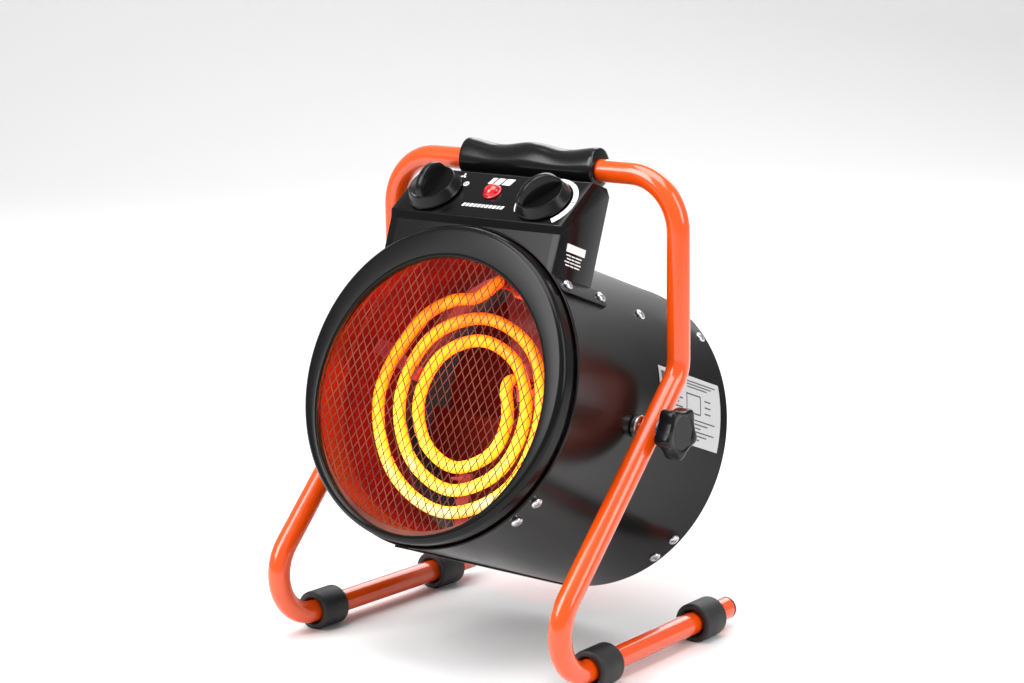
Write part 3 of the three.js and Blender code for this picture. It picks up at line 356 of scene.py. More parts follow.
for i in range(grip_steps):
    for k in range(grip_sides):
        j = (k + 1) % grip_sides
        a, b = i * grip_sides, (i + 1) * grip_sides
        grip_faces.append((a + k, a + j, b + j, b + k))
for k in range(grip_sides):
    j = (k + 1) % grip_sides
    left, right = bore_start, bore_start + grip_sides
    last = grip_steps * grip_sides
    grip_faces.append((k, j, left + j, left + k))
    grip_faces.append((last + k, last + j, right + j, right + k))
    grip_faces.append((left + k, left + j, right + j, right + k))
grip = placed("finger_grip", mesh_from("finger_grip", grip_points, grip_faces))
finish_piece(grip, black_moulding, "stand", "black_plastic", "handle_grip")

# ------------------------------------------------------------------ floor sleeves and end plugs
# Four thick rubber sleeves on the feet, each with soft rims, a wide mouth round the tube and a flat
# that stands on the floor. A domed plastic plug closes each tube end.
dark_rubber = skinned_material(
    "dark_rubber", (0.009, 0.009, 0.0095), (0.014, 0.014, 0.0145), bump=0.00006,
    patch_size=40.0, patch_amount=0.7, grain_size=1100.0, grain_depth=0.8, gloss_low=0.45, gloss_high=0.62,
    dust_colour=(0.09, 0.085, 0.08, 1), dust_amount=0.4,
)
SLEEVE_R = 14 * MM


def turned(name, profile, sides=48, drops=None):
    """A piece turned round the Y axis from a closed profile of (radius, y); where the first and last
    radius are 0 the ends are capped. drops lowers the centre of each ring."""
    capped = profile[0][0] == 0 and profile[-1][0] == 0
    rings = profile[1:-1] if capped else profile
    lowered = drops if drops else [0.0] * len(rings)
    points, faces = [], []
    for (radius, y), drop in zip(rings, lowered):
        for k in range(sides):
            a = 2 * math.pi * k / sides
            points.append((radius * math.sin(a), y, radius * math.cos(a) - drop))
    count = len(rings)
    for i in range(count - 1 if capped else count):
        n = (i + 1) % count
        for k in range(sides):
            j = (k + 1) % sides
            faces.append((i * sides + k, i * sides + j, n * sides + j, n * sides + k))
    if capped:
        faces.append(tuple(range(sides)))
        faces.append(tuple((count - 1) * sides + k for k in range(sides)))
    return mesh_from(name, points, faces)


def rounded_corner(radius_at, y_at, size, start, steps=5):
    """Quarter-round points of (radius, y) about a centre, from a start angle in degrees."""
    return [
        (radius_at + size * math.cos(math.radians(start + 90 * k / steps)),
         y_at + size * math.sin(math.radians(start + 90 * k / steps)))
        for k in range(steps + 1)
    ]


def floor_sleeve(name, node):
    low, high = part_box(node)
    centre = (low + high) / 2
    half = 12.5 * MM
    soft = 1.8 * MM
    bore = TUBE_R + 1.3 * MM
    profile = (
        rounded_corner(SLEEVE_R - soft, half - soft, soft, 0)
        + rounded_corner(bore + soft, half - soft, soft, 90)
        + [(TUBE_R + 0.3 * MM, half - 4 * MM), (TUBE_R + 0.3 * MM, -half + 4 * MM)]
        + rounded_corner(bore + soft, -half + soft, soft, 180)
        + rounded_corner(SLEEVE_R - soft, -half + soft, soft, 270)
    )
    mesh = turned(name, profile, sides=64)
    floor = low.z - foot_z
    for vertex in mesh.vertices:
        vertex.co.z = max(vertex.co.z, floor)
    turn = Matrix.Rotation(math.copysign(toe_angle, centre.x), 4, "Z")
    piece = placed(name, mesh, Matrix.Translation((centre.x, centre.y, foot_z)) @ turn, smooth=30)
    return finish_piece(piece, dark_rubber, "stand", "rubber", node)


for place in ("front_right", "front_left", "rear_right", "rear_left"):
    floor_sleeve("rubber_sleeve_" + place, "foot_sleeve_" + place)

for side, sign in (("right", 1), ("left", -1)):
    dome = [
        (0, -12 * MM), (6 * MM, -12 * MM), (6 * MM, 0.3 * MM), (7.6 * MM, 0.3 * MM), (8 * MM, 0.8 * MM),
        (8 * MM, 1.7 * MM), (7.4 * MM, 2.7 * MM), (5.6 * MM, 3.4 * MM), (3 * MM, 3.7 * MM), (0, PLUG_DOME),
    ]
    tube_end = Matrix.Translation((sign * (leg_x - FOOT_TOE_IN), foot_y, foot_z))
    tube_end = tube_end @ Matrix.Rotation(sign * toe_angle, 4, "Z")
    plug = placed("end_plug_" + side, turned("end_plug_" + side, dome, 40), tube_end)
    finish_piece(plug, black_moulding, "stand", "black_plastic", "foot_plug_" + side)

# ------------------------------------------------------------------ drum casing
# A rolled steel sheet, satin to gloss black powder coat, its ends hemmed and its edges lapped in a
# flat seam underneath. The drum hangs nose up on its pivots, so all its pieces share one frame.
fan_axis = Vector(next(j for j in frame["joints"] if j["name"] == "fan_spin")["axis"]).normalized()
drum_up = Vector((1, 0, 0)).cross(-fan_axis).normalized()
DRUM = Matrix((
    (1, -fan_axis.x, drum_up.x, pivot.x),
    (0, -fan_axis.y, drum_up.y, pivot.y),
    (0, -fan_axis.z, drum_up.z, pivot.z),
    (0, 0, 0, 1),
))
black_coat = skinned_material(
    "black_powder_coat", (0.003, 0.003, 0.0032), (0.0052, 0.0052, 0.0054), ior=1.28, bump=0.00003,
    patch_size=9.0, patch_amount=0.6, grain_size=760.0, grain_depth=0.25, gloss_low=0.17, gloss_high=0.23,
    dust_colour=(0.03, 0.03, 0.03, 1), dust_amount=0.05,
)
DRUM_R = 111.5 * MM
DRUM_WALL = 1.2 * MM
DRUM_FRONT = -76 * MM
DRUM_REAR = 115 * MM


def hem(radius, y, size, outward):
    """A rolled sheet edge: points round half a bead, from the outside of the sheet to its inside."""
    return [
        (radius - size + size * math.cos(math.radians(a)), y + outward * size * math.sin(math.radians(a)))
        for a in range(0, 181, 30)
    ]


casing_profile = (
    [(DRUM_R, DRUM_REAR - 3 * MM), (DRUM_R + 0.25 * MM, DRUM_REAR - 2 * MM)]
    + hem(DRUM_R + 0.25 * MM, DRUM_REAR - 0.9 * MM, 0.85 * MM, 1)
    + [(DRUM_R - DRUM_WALL, DRUM_REAR - 3 * MM), (DRUM_R - DRUM_WALL, DRUM_FRONT + 3 * MM)]
    + hem(DRUM_R + 0.35 * MM, DRUM_FRONT + 0.9 * MM, 0.9 * MM, -1)[::-1]
    + [(DRUM_R + 0.35 * MM, DRUM_FRONT + 2 * MM), (DRUM_R, DRUM_FRONT + 3 * MM)]
)
casing = placed("drum_shell", turned("drum_shell", casing_profile, 160), DRUM)
finish_piece(casing, black_coat, "drum", "black_powder_coat", "drum_casing")

# The lap of the casing's sheet: a flat strip tangent to the drum, spot welded under it.
LAP_WIDTH = 11 * MM
lap_top, lap_low = -DRUM_R + 0.2 * MM, -DRUM_R - DRUM_WALL
lap_outline = [
    (0.5 * MM, lap_top), (0.5 * MM, lap_low), (-LAP_WIDTH + 0.5 * MM, lap_low),
    (-LAP_WIDTH, lap_low + 0.4 * MM), (-LAP_WIDTH, lap_top - 0.5 * MM), (-LAP_WIDTH + 0.4 * MM, lap_top),
]
lap_points = [(x, y, z) for y in (DRUM_FRONT, DRUM_REAR - 1 * MM) for x, z in lap_outline]
lap_count = len(lap_outline)
lap_faces = [
    (k, (k + 1) % lap_count, lap_count + (k + 1) % lap_count, lap_count + k)
    for k in range(lap_count)
]
lap_faces += [tuple(range(lap_count)), tuple(range(lap_count, 2 * lap_count))]
lap = placed("seam_lap", mesh_from("seam_lap", lap_points, lap_faces), DRUM)
finish_piece(lap, black_coat, "drum", "black_powder_coat")

# ------------------------------------------------------------------ front ring
# A pressed steel ring that slips into the drum and is held by the screws low on each side. Its outer
# edge is rolled, and a lip is turned in round the mouth, which sits low in the face.
RING_FACE = -90 * MM
RING_R = 109.7 * MM
MOUTH_R = 95.5 * MM
MOUTH_DROP = 8.5 * MM
RING_ROLL = 4.5 * MM
ring_roll = [
    (RING_R - RING_ROLL + RING_ROLL * math.sin(math.radians(a)),
     RING_FACE + RING_ROLL * (1 - math.cos(math.radians(a))))
    for a in range(0, 91, 10)
]
ring_steps = [
    (MOUTH_R, RING_FACE + 5 * MM, MOUTH_DROP), (MOUTH_R, RING_FACE + 1.6 * MM, MOUTH_DROP),
    (MOUTH_R + 0.4 * MM, RING_FACE + 0.7 * MM, MOUTH_DROP),
    (MOUTH_R + 1.2 * MM, RING_FACE + 0.12 * MM, MOUTH_DROP),
    (MOUTH_R + 2.2 * MM, RING_FACE, MOUTH_DROP * 0.92),
]
ring_steps += [(radius, y, 0.0) for radius, y in ring_roll]
ring_steps += [
    (RING_R, RING_FACE + 8 * MM, 0.0), (RING_R + 0.2 * MM, RING_FACE + 10.5 * MM, 0.0),
    (RING_R, RING_FACE + 12.6 * MM, 0.0),
    (RING_R - 0.6 * MM, RING_FACE + 13.4 * MM, 0.0), (RING_R - 0.6 * MM, RING_FACE + 31 * MM, 0.0),
    (RING_R - 1.6 * MM, RING_FACE + 31 * MM, 0.0), (RING_R - 1.6 * MM, RING_FACE + 5.5 * MM, 0.0),
    (RING_R - 5 * MM, RING_FACE + 1.5 * MM, 0.0),
    (MOUTH_R + 1.4 * MM, RING_FACE + 1.5 * MM, MOUTH_DROP),
    (MOUTH_R + 1.4 * MM, RING_FACE + 5 * MM, MOUTH_DROP),
]
ring = placed(
    "front_ring_pressed",
    turned("front_ring_pressed", [(r, y) for r, y, _ in ring_steps], 180, [d for _, _, d in ring_steps]),
    DRUM, smooth=50,
)
finish_piece(ring, black_coat, "drum", "black_powder_coat", "front_ring")

# ------------------------------------------------------------------ mesh guard
# Thin steel wires laid in two slanting sets that cross as narrow upright diamonds, welded to a flat
# rim behind the ring's lip. The fire's light on the wires and the rim is painted into them as a dull red
# glow.
GUARD_Y = RING_FACE + 6.2 * MM
GUARD_R = 107.5 * MM
DIAMOND_WIDE, DIAMOND_TALL = 6.9 * MM, 11.6 * MM
WIRE = 0.34 * MM
SHORTEST_HALF_WIRE = 4 * MM


def painted_wire_glow_material():
    """Dark wire with painted light: a dull reddish glow stands in for the fire's light on it, so it shows
    pale on the dark and dark on the coils.
    """
    material = bpy.data.materials.new("wire_with_painted_glow")
    material.use_nodes = True
    nodes, links = material.node_tree.nodes, material.node_tree.links
    shader = nodes["Principled BSDF"]
    shader.inputs["Metallic"].default_value = 0.3
    place = nodes.new("ShaderNodeTexCoord")
    blotch = nodes.new("ShaderNodeTexNoise")
    blotch.inputs["Scale"].default_value = 34
    blotch.inputs["Detail"].default_value = 3
    links.new(place.outputs["Object"], blotch.inputs["Vector"])
    ramp = nodes.new("ShaderNodeValToRGB")
    ramp.color_ramp.elements[0].position = 0.35
    ramp.color_ramp.elements[0].color = (0.16, 0.022, 0.012, 1)
    ramp.color_ramp.elements[1].position = 0.65
    ramp.color_ramp.elements[1].color = (0.34, 0.085, 0.05, 1)
    links.new(blotch.outputs["Fac"], ramp.inputs["Fac"])
    # Painted light: this emission stands in for the fire's red light falling on the wires and the rim.
    links.new(ramp.outputs["Color"], shader.inputs["Emission Color"])
    shader.inputs["Emission Strength"].default_value = 0.8
    shade = nodes.new("ShaderNodeMix")
    shade.data_type = "RGBA"
    shade.inputs["Factor"].default_value = 0.9
    links.new(ramp.outputs["Color"], shade.inputs["A"])
    shade.inputs["B"].default_value = (0.01, 0.006, 0.005, 1)
    links.new(shade.outputs["Result"], shader.inputs["Base Color"])
    rough = nodes.new("ShaderNodeMapRange")
    rough.inputs["To Min"].default_value = 0.4
    rough.inputs["To Max"].default_value = 0.6
    links.new(blotch.outputs["Fac"], rough.inputs["Value"])
    links.new(rough.outputs["Result"], shader.inputs["Roughness"])
    return material


wire_with_painted_glow = painted_wire_glow_material()


def guard_wires():
    points, faces = [], []
    slope = math.atan2(DIAMOND_TALL, DIAMOND_WIDE)
    pitch = DIAMOND_WIDE * math.sin(slope)
    sides = 5
    for family, sign in enumerate((1, -1)):
        along = Vector((math.cos(slope), 0, sign * math.sin(slope)))
        across = Vector((-sign * math.sin(slope), 0, math.cos(slope)))
        depth = GUARD_Y + (0.45 * MM if family else 0.0)
        count = int(GUARD_R / pitch)
        for n in range(-count, count + 1):
            offset = n * pitch
            half = math.sqrt(max(GUARD_R ** 2 - offset ** 2, 0))
            if half < SHORTEST_HALF_WIRE:
                continue
            first = len(points)
            for end in (-half, half):
                centre = across * offset + along * end
                for k in range(sides):
                    a = 2 * math.pi * k / sides
                    off = across * (WIRE * math.cos(a)) + Vector((0, WIRE * math.sin(a), 0))
                    points.append(Vector((0, depth, 0)) + centre + off)
            for k in range(sides):
                j = (k + 1) % sides
                faces.append((first + k, first + j, first + sides + j, first + sides + k))
            faces.append(tuple(first + k for k in range(sides)))
            faces.append(tuple(first + sides + k for k in range(sides)))
    return mesh_from("guard_wires", points, faces)


wires = placed("guard_wires", guard_wires(), DRUM)
finish_piece(wires, wire_with_painted_glow, "drum", "dark_steel", "front_guard")
rim_inside = GUARD_R - 7 * MM
rim_profile = [
    (GUARD_R, GUARD_Y - 0.5 * MM), (GUARD_R, GUARD_Y + 1 * MM),
    (rim_inside, GUARD_Y + 1 * MM), (rim_inside, GUARD_Y - 0.5 * MM),
]
guard_rim = placed("guard_rim", turned("guard_rim", rim_profile, 120), DRUM)
finish_piece(guard_rim, wire_with_painted_glow, "drum", "dark_steel")

# ------------------------------------------------------------------ heat liner
# A bright steel barrel inside the drum, flanged behind the guard and flared to the casing at the
# back. The element's light fills it with deep red, strongest level with the coils.
SHIELD_R = 101 * MM


def fire_lit_material(name, deep, lit, strength):
    """Steel that stands in the element's red light: the light fades with distance from the coils."""
    material = bpy.data.materials.new(name)
    material.use_nodes = True
    nodes, links = material.node_tree.nodes, material.node_tree.links
    shader = nodes["Principled BSDF"]
    shader.inputs["Metallic"].default_value = 0.35
    place = nodes.new("ShaderNodeTexCoord")
    split = nodes.new("ShaderNodeSeparateXYZ")
    links.new(place.outputs["Object"], split.inputs["Vector"])
    fade = nodes.new("ShaderNodeMapRange")
    fade.inputs["From Min"].default_value = 0.02
    fade.inputs["From Max"].default_value = -0.075
    links.new(split.outputs["Y"], fade.inputs["Value"])
    blotch = nodes.new("ShaderNodeTexNoise")
    blotch.inputs["Scale"].default_value = 26
    blotch.inputs["Detail"].default_value = 4
    links.new(place.outputs["Object"], blotch.inputs["Vector"])
    mixed = nodes.new("ShaderNodeMath")
    mixed.operation = "MULTIPLY"
    links.new(fade.outputs["Result"], mixed.inputs[0])
    links.new(blotch.outputs["Fac"], mixed.inputs[1])
    ramp = nodes.new("ShaderNodeValToRGB")
    ramp.color_ramp.elements[0].position = 0.05
    ramp.color_ramp.elements[0].color = (*deep, 1)
    ramp.color_ramp.elements[1].position = 0.6
    ramp.color_ramp.elements[1].color = (*lit, 1)
    links.new(mixed.outputs[0], ramp.inputs["Fac"])
    links.new(ramp.outputs["Color"], shader.inputs["Emission Color"])
    shader.inputs["Emission Strength"].default_value = strength
    shade = nodes.new("ShaderNodeMix")
    shade.data_type = "RGBA"
    shade.inputs["Factor"].default_value = 0.85
    links.new(ramp.outputs["Color"], shade.inputs["A"])
    shade.inputs["B"].default_value = (0.012, 0.002, 0.002, 1)
    links.new(shade.outputs["Result"], shader.inputs["Base Color"])
    rough = nodes.new("ShaderNodeMapRange")
    rough.inputs["To Min"].default_value = 0.3
    rough.inputs["To Max"].default_value = 0.5
    links.new(blotch.outputs["Fac"], rough.inputs["Value"])
    links.new(rough.outputs["Result"], shader.inputs["Roughness"])
    return material


lit_liner = fire_lit_material("fire_lit_liner", (0.05, 0.001, 0.001), (0.34, 0.004, 0.002), 1.0)
shield_front = RING_FACE + 8 * MM
liner_profile = [
    (108 * MM, shield_front), (108 * MM, shield_front + 1 * MM), (SHIELD_R, shield_front + 1 * MM),
    (SHIELD_R, 9 * MM), (109.4 * MM, 18 * MM), (109.4 * MM, 30 * MM), (108.4 * MM, 30 * MM),
    (108.4 * MM, 18.6 * MM),
    (SHIELD_R - 1 * MM, 9.6 * MM), (SHIELD_R - 1 * MM, -60 * MM), (SHIELD_R - 1.6 * MM, -58.5 * MM),
    (SHIELD_R - 1 * MM, -57 * MM), (SHIELD_R - 1 * MM, shield_front),
]
liner = placed("heat_liner", turned("heat_liner", liner_profile, 120), DRUM, smooth=30)
finish_piece(liner, lit_liner, "drum", "bright_steel", "heat_shield")

# ------------------------------------------------------------------ spiral element
# A metal-sheathed heating tube bent by hand into a spiral of a little under three turns, glowing
# yellow, brighter towards the bottom, with a painted highlight along the side of each turn that
# faces front and down. Its ends turn back into two ceramic bushings.
ELEMENT_R = 4.3 * MM
ELEMENT_Y = -43 * MM
SPIRAL_RADII = (
    78.8, 78.8, 74.5, 73.8, 69.5, 62.5, 63, 62.4,
    62.5, 59.8, 57.2, 58.2, 55, 50.2, 48.4, 46.9,
    45.4, 42.8, 41.2, 42.2, 40.5,
)


def element_course():
    def at(x, z, back=0.0):
        return Vector((x * MM, ELEMENT_Y + back * MM, z * MM - MOUTH_DROP))

    course = [at(3, 90, 26), at(3, 90, 10), at(1.5, 88.5, 3), at(-3, 82), at(-12, 76), at(-32, 72)]
    for i, radius in enumerate(SPIRAL_RADII):
        a = math.radians(135 + 45 * i)
        course.append(at(radius * math.cos(a), radius * math.sin(a)))
    course += [at(36, -8), at(34, 4), at(30, 15), at(29, 21, 2), at(29, 24, 8), at(29, 24, 26)]
    return course


def smooth_through(points, steps=10):
    """Points on a centripetal curve through the given ones."""
    ends = [points[0] * 2 - points[1]] + points + [points[-1] * 2 - points[-2]]
    run = []
    for i in range(1, len(ends) - 2):
        p0, p1, p2, p3 = ends[i - 1:i + 3]
        t0 = 0.0
        t1 = t0 + (p1 - p0).length ** 0.5
        t2 = t1 + (p2 - p1).length ** 0.5
        t3 = t2 + (p3 - p2).length ** 0.5
        for k in range(steps):
            t = t1 + (t2 - t1) * k / steps
            a1 = p0 * ((t1 - t) / (t1 - t0)) + p1 * ((t - t0) / (t1 - t0))
            a2 = p1 * ((t2 - t) / (t2 - t1)) + p2 * ((t - t1) / (t2 - t1))
            a3 = p2 * ((t3 - t) / (t3 - t2)) + p3 * ((t - t2) / (t3 - t2))
            b1 = a1 * ((t2 - t) / (t2 - t0)) + a2 * ((t - t0) / (t2 - t0))
            b2 = a2 * ((t3 - t) / (t3 - t1)) + a3 * ((t - t1) / (t3 - t1))
            run.append(b1 * ((t2 - t) / (t2 - t1)) + b2 * ((t - t1) / (t2 - t1)))
    run.append(points[-1].copy())
    return run


def glowing_sheath():
    material = bpy.data.materials.new("glowing_sheath")
    material.use_nodes = True
    nodes, links = material.node_tree.nodes, material.node_tree.links
    shader = nodes["Principled BSDF"]
    place = nodes.new("ShaderNodeTexCoord")
    split = nodes.new("ShaderNodeSeparateXYZ")
    links.new(place.outputs["Object"], split.inputs["Vector"])
    # Brighter towards the bottom of the spiral.
    height = nodes.new("ShaderNodeMapRange")
    height.inputs["From Min"].default_value = 0.075
    height.inputs["From Max"].default_value = -0.09
    height.inputs["To Max"].default_value = 0.6
    links.new(split.outputs["Z"], height.inputs["Value"])
    heat = nodes.new("ShaderNodeTexNoise")
    heat.inputs["Scale"].default_value = 42
    heat.inputs["Detail"].default_value = 3
    links.new(place.outputs["Object"], heat.inputs["Vector"])
    # Painted highlight: the glow is raised on the faces of the tube turned to the front and down, which
    # paints a lit, rounded look on each turn.
    crown = nodes.new("ShaderNodeVectorMath")
    crown.operation = "DOT_PRODUCT"
    crown.inputs[1].default_value = (0.25, -0.93, -0.25)
    links.new(place.outputs["Normal"], crown.inputs[0])
    swell = nodes.new("ShaderNodeMapRange")
    swell.inputs["From Min"].default_value = -0.1
    swell.inputs["From Max"].default_value = 1.0
    swell.inputs["To Max"].default_value = 0.3
    links.new(crown.outputs["Value"], swell.inputs["Value"])
    mottle = nodes.new("ShaderNodeMapRange")
    mottle.inputs["From Min"].default_value = 0.3
    mottle.inputs["From Max"].default_value = 0.7
    mottle.inputs["To Max"].default_value = 0.2
    links.new(heat.outputs["Fac"], mottle.inputs["Value"])
    first = nodes.new("ShaderNodeMath")
    first.operation = "ADD"
    links.new(height.outputs["Result"], first.inputs[0])
    links.new(swell.outputs["Result"], first.inputs[1])
    both = nodes.new("ShaderNodeMath")
    both.operation = "ADD"
    links.new(first.outputs[0], both.inputs[0])
    links.new(mottle.outputs["Result"], both.inputs[1])
    # The two ends that run back to the bushings are cold.
    cold = nodes.new("ShaderNodeMapRange")
    cold.inputs["From Min"].default_value = ELEMENT_Y + 3 * MM
    cold.inputs["From Max"].default_value = ELEMENT_Y + 11 * MM
    cold.inputs["To Max"].default_value = 1.2
    links.new(split.outputs["Y"], cold.inputs["Value"])
    warm = nodes.new("ShaderNodeMath")
    warm.operation = "SUBTRACT"
    links.new(both.outputs[0], warm.inputs[0])
    links.new(cold.outputs["Result"], warm.inputs[1])
    ramp = nodes.new("ShaderNodeValToRGB")
    stops = ramp.color_ramp.elements
    stops[0].position = 0.0
    stops[0].color = (0.10, 0.004, 0.002, 1)
    stops[1].position = 1.0
    stops[1].color = (1.0, 0.86, 0.40, 1)
    for position, colour in (
        (0.14, (0.62, 0.06, 0.002, 1)), (0.38, (0.95, 0.21, 0.003, 1)),
        (0.62, (1.0, 0.46, 0.006, 1)), (0.82, (1.0, 0.68, 0.05, 1)),
    ):
        stop = stops.new(position)
        stop.color = colour
    links.new(warm.outputs[0], ramp.inputs["Fac"])
    links.new(ramp.outputs["Color"], shader.inputs["Base Color"])
    links.new(ramp.outputs["Color"], shader.inputs["Emission Color"])
    shader.inputs["Emission Strength"].default_value = 1.0
    links.new(heat.outputs["Fac"], shader.inputs["Roughness"])
    return material


sheath_run = smooth_through(element_course())
element = placed("spiral_element", swept_rod("spiral_element", sheath_run, ELEMENT_R, sides=24), DRUM)
finish_piece(element, glowing_sheath(), "drum", "hot_sheath", "heating_element")

# The supports, the bushing holder and the bushings stay as solids, lit by the fire.
lit_strip = fire_lit_material("fire_lit_strip", (0.1, 0.004, 0.004), (0.6, 0.05, 0.05), 0.8)
lit_ceramic = skinned_material(
    "fire_lit_ceramic", (0.62, 0.34, 0.24), (0.5, 0.2, 0.12), bump=0.0001,
    patch_size=80.0, patch_amount=0.7, grain_size=900.0, grain_depth=0.6, gloss_low=0.4, gloss_high=0.6,
)


def carry(material, *names):
    """Keeps solids as they are and gives them their material."""
    for name in names:
        solid = frame["nodes"][name]
        solid.data.materials.clear()
        solid.data.materials.append(material)
        solid.data.shade_smooth()
        solid.data.set_sharp_from_angle(angle=math.radians(32))


carry(lit_strip, "element_support_1", "element_support_2", "element_support_3", "bushing_holder")
carry(lit_ceramic, "terminal_bushing_1", "terminal_bushing_2")

# ------------------------------------------------------------------ fan, motor and rear grille
# Five pressed aluminium blades riveted to a hub, driven by a can motor on a cross strap. A black
# grille of rings and spokes closes the drum's back. The metal stands in the fire's red light.
blade_metal = fire_lit_material("fire_lit_blades", (0.045, 0.002, 0.0015), (0.12, 0.004, 0.003), 1.0)
motor_steel = fire_lit_material("fire_lit_motor", (0.02, 0.001, 0.001), (0.07, 0.003, 0.002), 1.0)
bracket_steel = fire_lit_material("fire_lit_bracket", (0.03, 0.001, 0.001), (0.1, 0.004, 0.003), 1.0)
FAN_R = 94 * MM
FAN_Y = 44 * MM
FAN_PITCH = math.radians(28)
BLADES = 5
BLADE_PHASE = 0.1
BLADE_ROOT = 15 * MM


def fan_blades():
    """Blades as curved sheets: each is cambered along its chord and twists from root to tip."""
    points, faces = [], []
    around, out, thick = 12, 14, 0.7 * MM
    for blade in range(BLADES):
        base = len(points)
        start = 2 * math.pi * (blade + BLADE_PHASE) / BLADES
        for layer in (-1, 1):
            for i in range(out + 1):
                r = BLADE_ROOT + (FAN_R - BLADE_ROOT) * i / out
                grow = i / out
                sweep = 0.58 + 0.14 * grow - 0.06 * grow ** 6
                pitch = FAN_PITCH * (1.5 - 0.75 * grow)
                for k in range(around + 1):
                    c = 2 * k / around - 1
                    a = start + c * sweep + 0.1 * grow
                    rise = -c * sweep * r * math.tan(pitch) * 0.44 + 2.4 * MM * (1 - c * c) * grow
                    edge = 1 - 0.05 * c * c * (grow > 0.9)
                    y = FAN_Y + rise + layer * thick
                    points.append((r * edge * math.sin(a), y, r * edge * math.cos(a)))
        row = around + 1
        sheet = (out + 1) * row
        for i in range(out):
            for k in range(around):
                a = base + i * row + k
                faces.append((a, a + 1, a + row + 1, a + row))
                b = a + sheet
                faces.append((b, b + row, b + row + 1, b + 1))
        border = [(0, k) for k in range(around)] + [(i, around) for i in range(out)]
        border += [(out, k) for k in range(around, 0, -1)] + [(i, 0) for i in range(out, 0, -1)]
        for n, (i, k) in enumerate(border):
            i2, k2 = border[(n + 1) % len(border)]
            a, b = base + i * row + k, base + i2 * row + k2
            faces.append((a, b, b + sheet, a + sheet))
    return mesh_from("fan_blades", points, faces)


blades = placed("fan_blades", fan_blades(), DRUM)
finish_piece(blades, blade_metal, "fan", "fan_metal", "fan_rotor")
hub_profile = [
    (0, 35.5 * MM), (6 * MM, 35.5 * MM), (15.5 * MM, 36 * MM), (17 * MM, 37.5 * MM), (17 * MM, 50.5 * MM),
    (15.5 * MM, 52 * MM), (0, 52 * MM),
]
hub = placed("fan_hub", turned("fan_hub", hub_profile, 40), DRUM)
finish_piece(hub, blade_metal, "fan", "fan_metal")
carry(bracket_steel, "motor_shaft", "motor_bracket")

MOTOR_R = 31 * MM
motor_front = 60.2 * MM
motor_back = 96.2 * MM
motor_profile = [
    (0, motor_front + 0.5 * MM), (9 * MM, motor_front + 0.5 * MM), (10 * MM, motor_front + 1.2 * MM),
    (10 * MM, motor_front + 3 * MM), (26 * MM, motor_front + 3.2 * MM),
    (MOTOR_R - 1.5 * MM, motor_front + 4.2 * MM), (MOTOR_R, motor_front + 6.5 * MM),
    (MOTOR_R, motor_front + 14 * MM), (MOTOR_R - 0.7 * MM, motor_front + 14.7 * MM),
    (MOTOR_R - 0.7 * MM, motor_front + 16 * MM), (MOTOR_R, motor_front + 16.7 * MM),
    (MOTOR_R, motor_back - 3 * MM), (MOTOR_R - 1 * MM, motor_back - 1 * MM),
    (MOTOR_R - 3 * MM, motor_back), (0, motor_back),
]
motor = placed("can_motor", turned("can_motor", motor_profile, 64), DRUM)
finish_piece(motor, motor_steel, "drum", "dark_steel", "fan_motor")

GRILLE_Y = 112.8 * MM
GRILLE_R = 109.6 * MM


def rear_grille():
    """Pressed rings joined by six spokes, a plain disc in the middle and a skirt that slips in the drum."""
    points, faces = [], []

    def band(radius, half, wide_y):
        sides, first = 96, len(points)
        section = [
            (-half, 0.0), (-half * 0.6, -wide_y), (half * 0.6, -wide_y), (half, 0.0),
            (half, 1.2 * MM), (-half, 1.2 * MM),
        ]
        for k in range(sides):
            a = 2 * math.pi * k / sides
            for dr, dy in section:
                points.append(((radius + dr) * math.sin(a), GRILLE_Y + dy, (radius + dr) * math.cos(a)))
        n = len(section)
        for k in range(sides):
            for m in range(n):
                a = first + k * n + m
                b = first + k * n + (m + 1) % n
                c = first + ((k + 1) % sides) * n + (m + 1) % n
                d = first + ((k + 1) % sides) * n + m
                faces.append((a, b, c, d))

    inner, outer = 28 * MM, GRILLE_R - 5 * MM
    pitch = (outer - inner) / 8
    for ring_number in range(1, 8):
        band(inner + ring_number * pitch, 1.7 * MM, 0.5 * MM)
    spoke_section = (
        (-3 * MM, 0.2 * MM), (-2.2 * MM, -0.7 * MM), (2.2 * MM, -0.7 * MM), (3 * MM, 0.2 * MM),
        (3 * MM, 1.1 * MM), (-3 * MM, 1.1 * MM),
    )
    for spoke in range(6):
        a = 2 * math.pi * spoke / 6
        along = Vector((math.sin(a), 0, math.cos(a)))
        side = Vector((math.cos(a), 0, -math.sin(a)))
        first = len(points)
        for reach in (inner - 1 * MM, outer + 1 * MM):
            for s, dy in spoke_section:
                p = along * reach + side * s
                points.append((p.x, GRILLE_Y + dy, p.z))
        for m in range(6):
            faces.append((first + m, first + (m + 1) % 6, first + 6 + (m + 1) % 6, first + 6 + m))
        faces.append(tuple(first + m for m in range(6)))
        faces.append(tuple(first + 6 + m for m in range(6)))
    return mesh_from("grille_rings", points, faces)


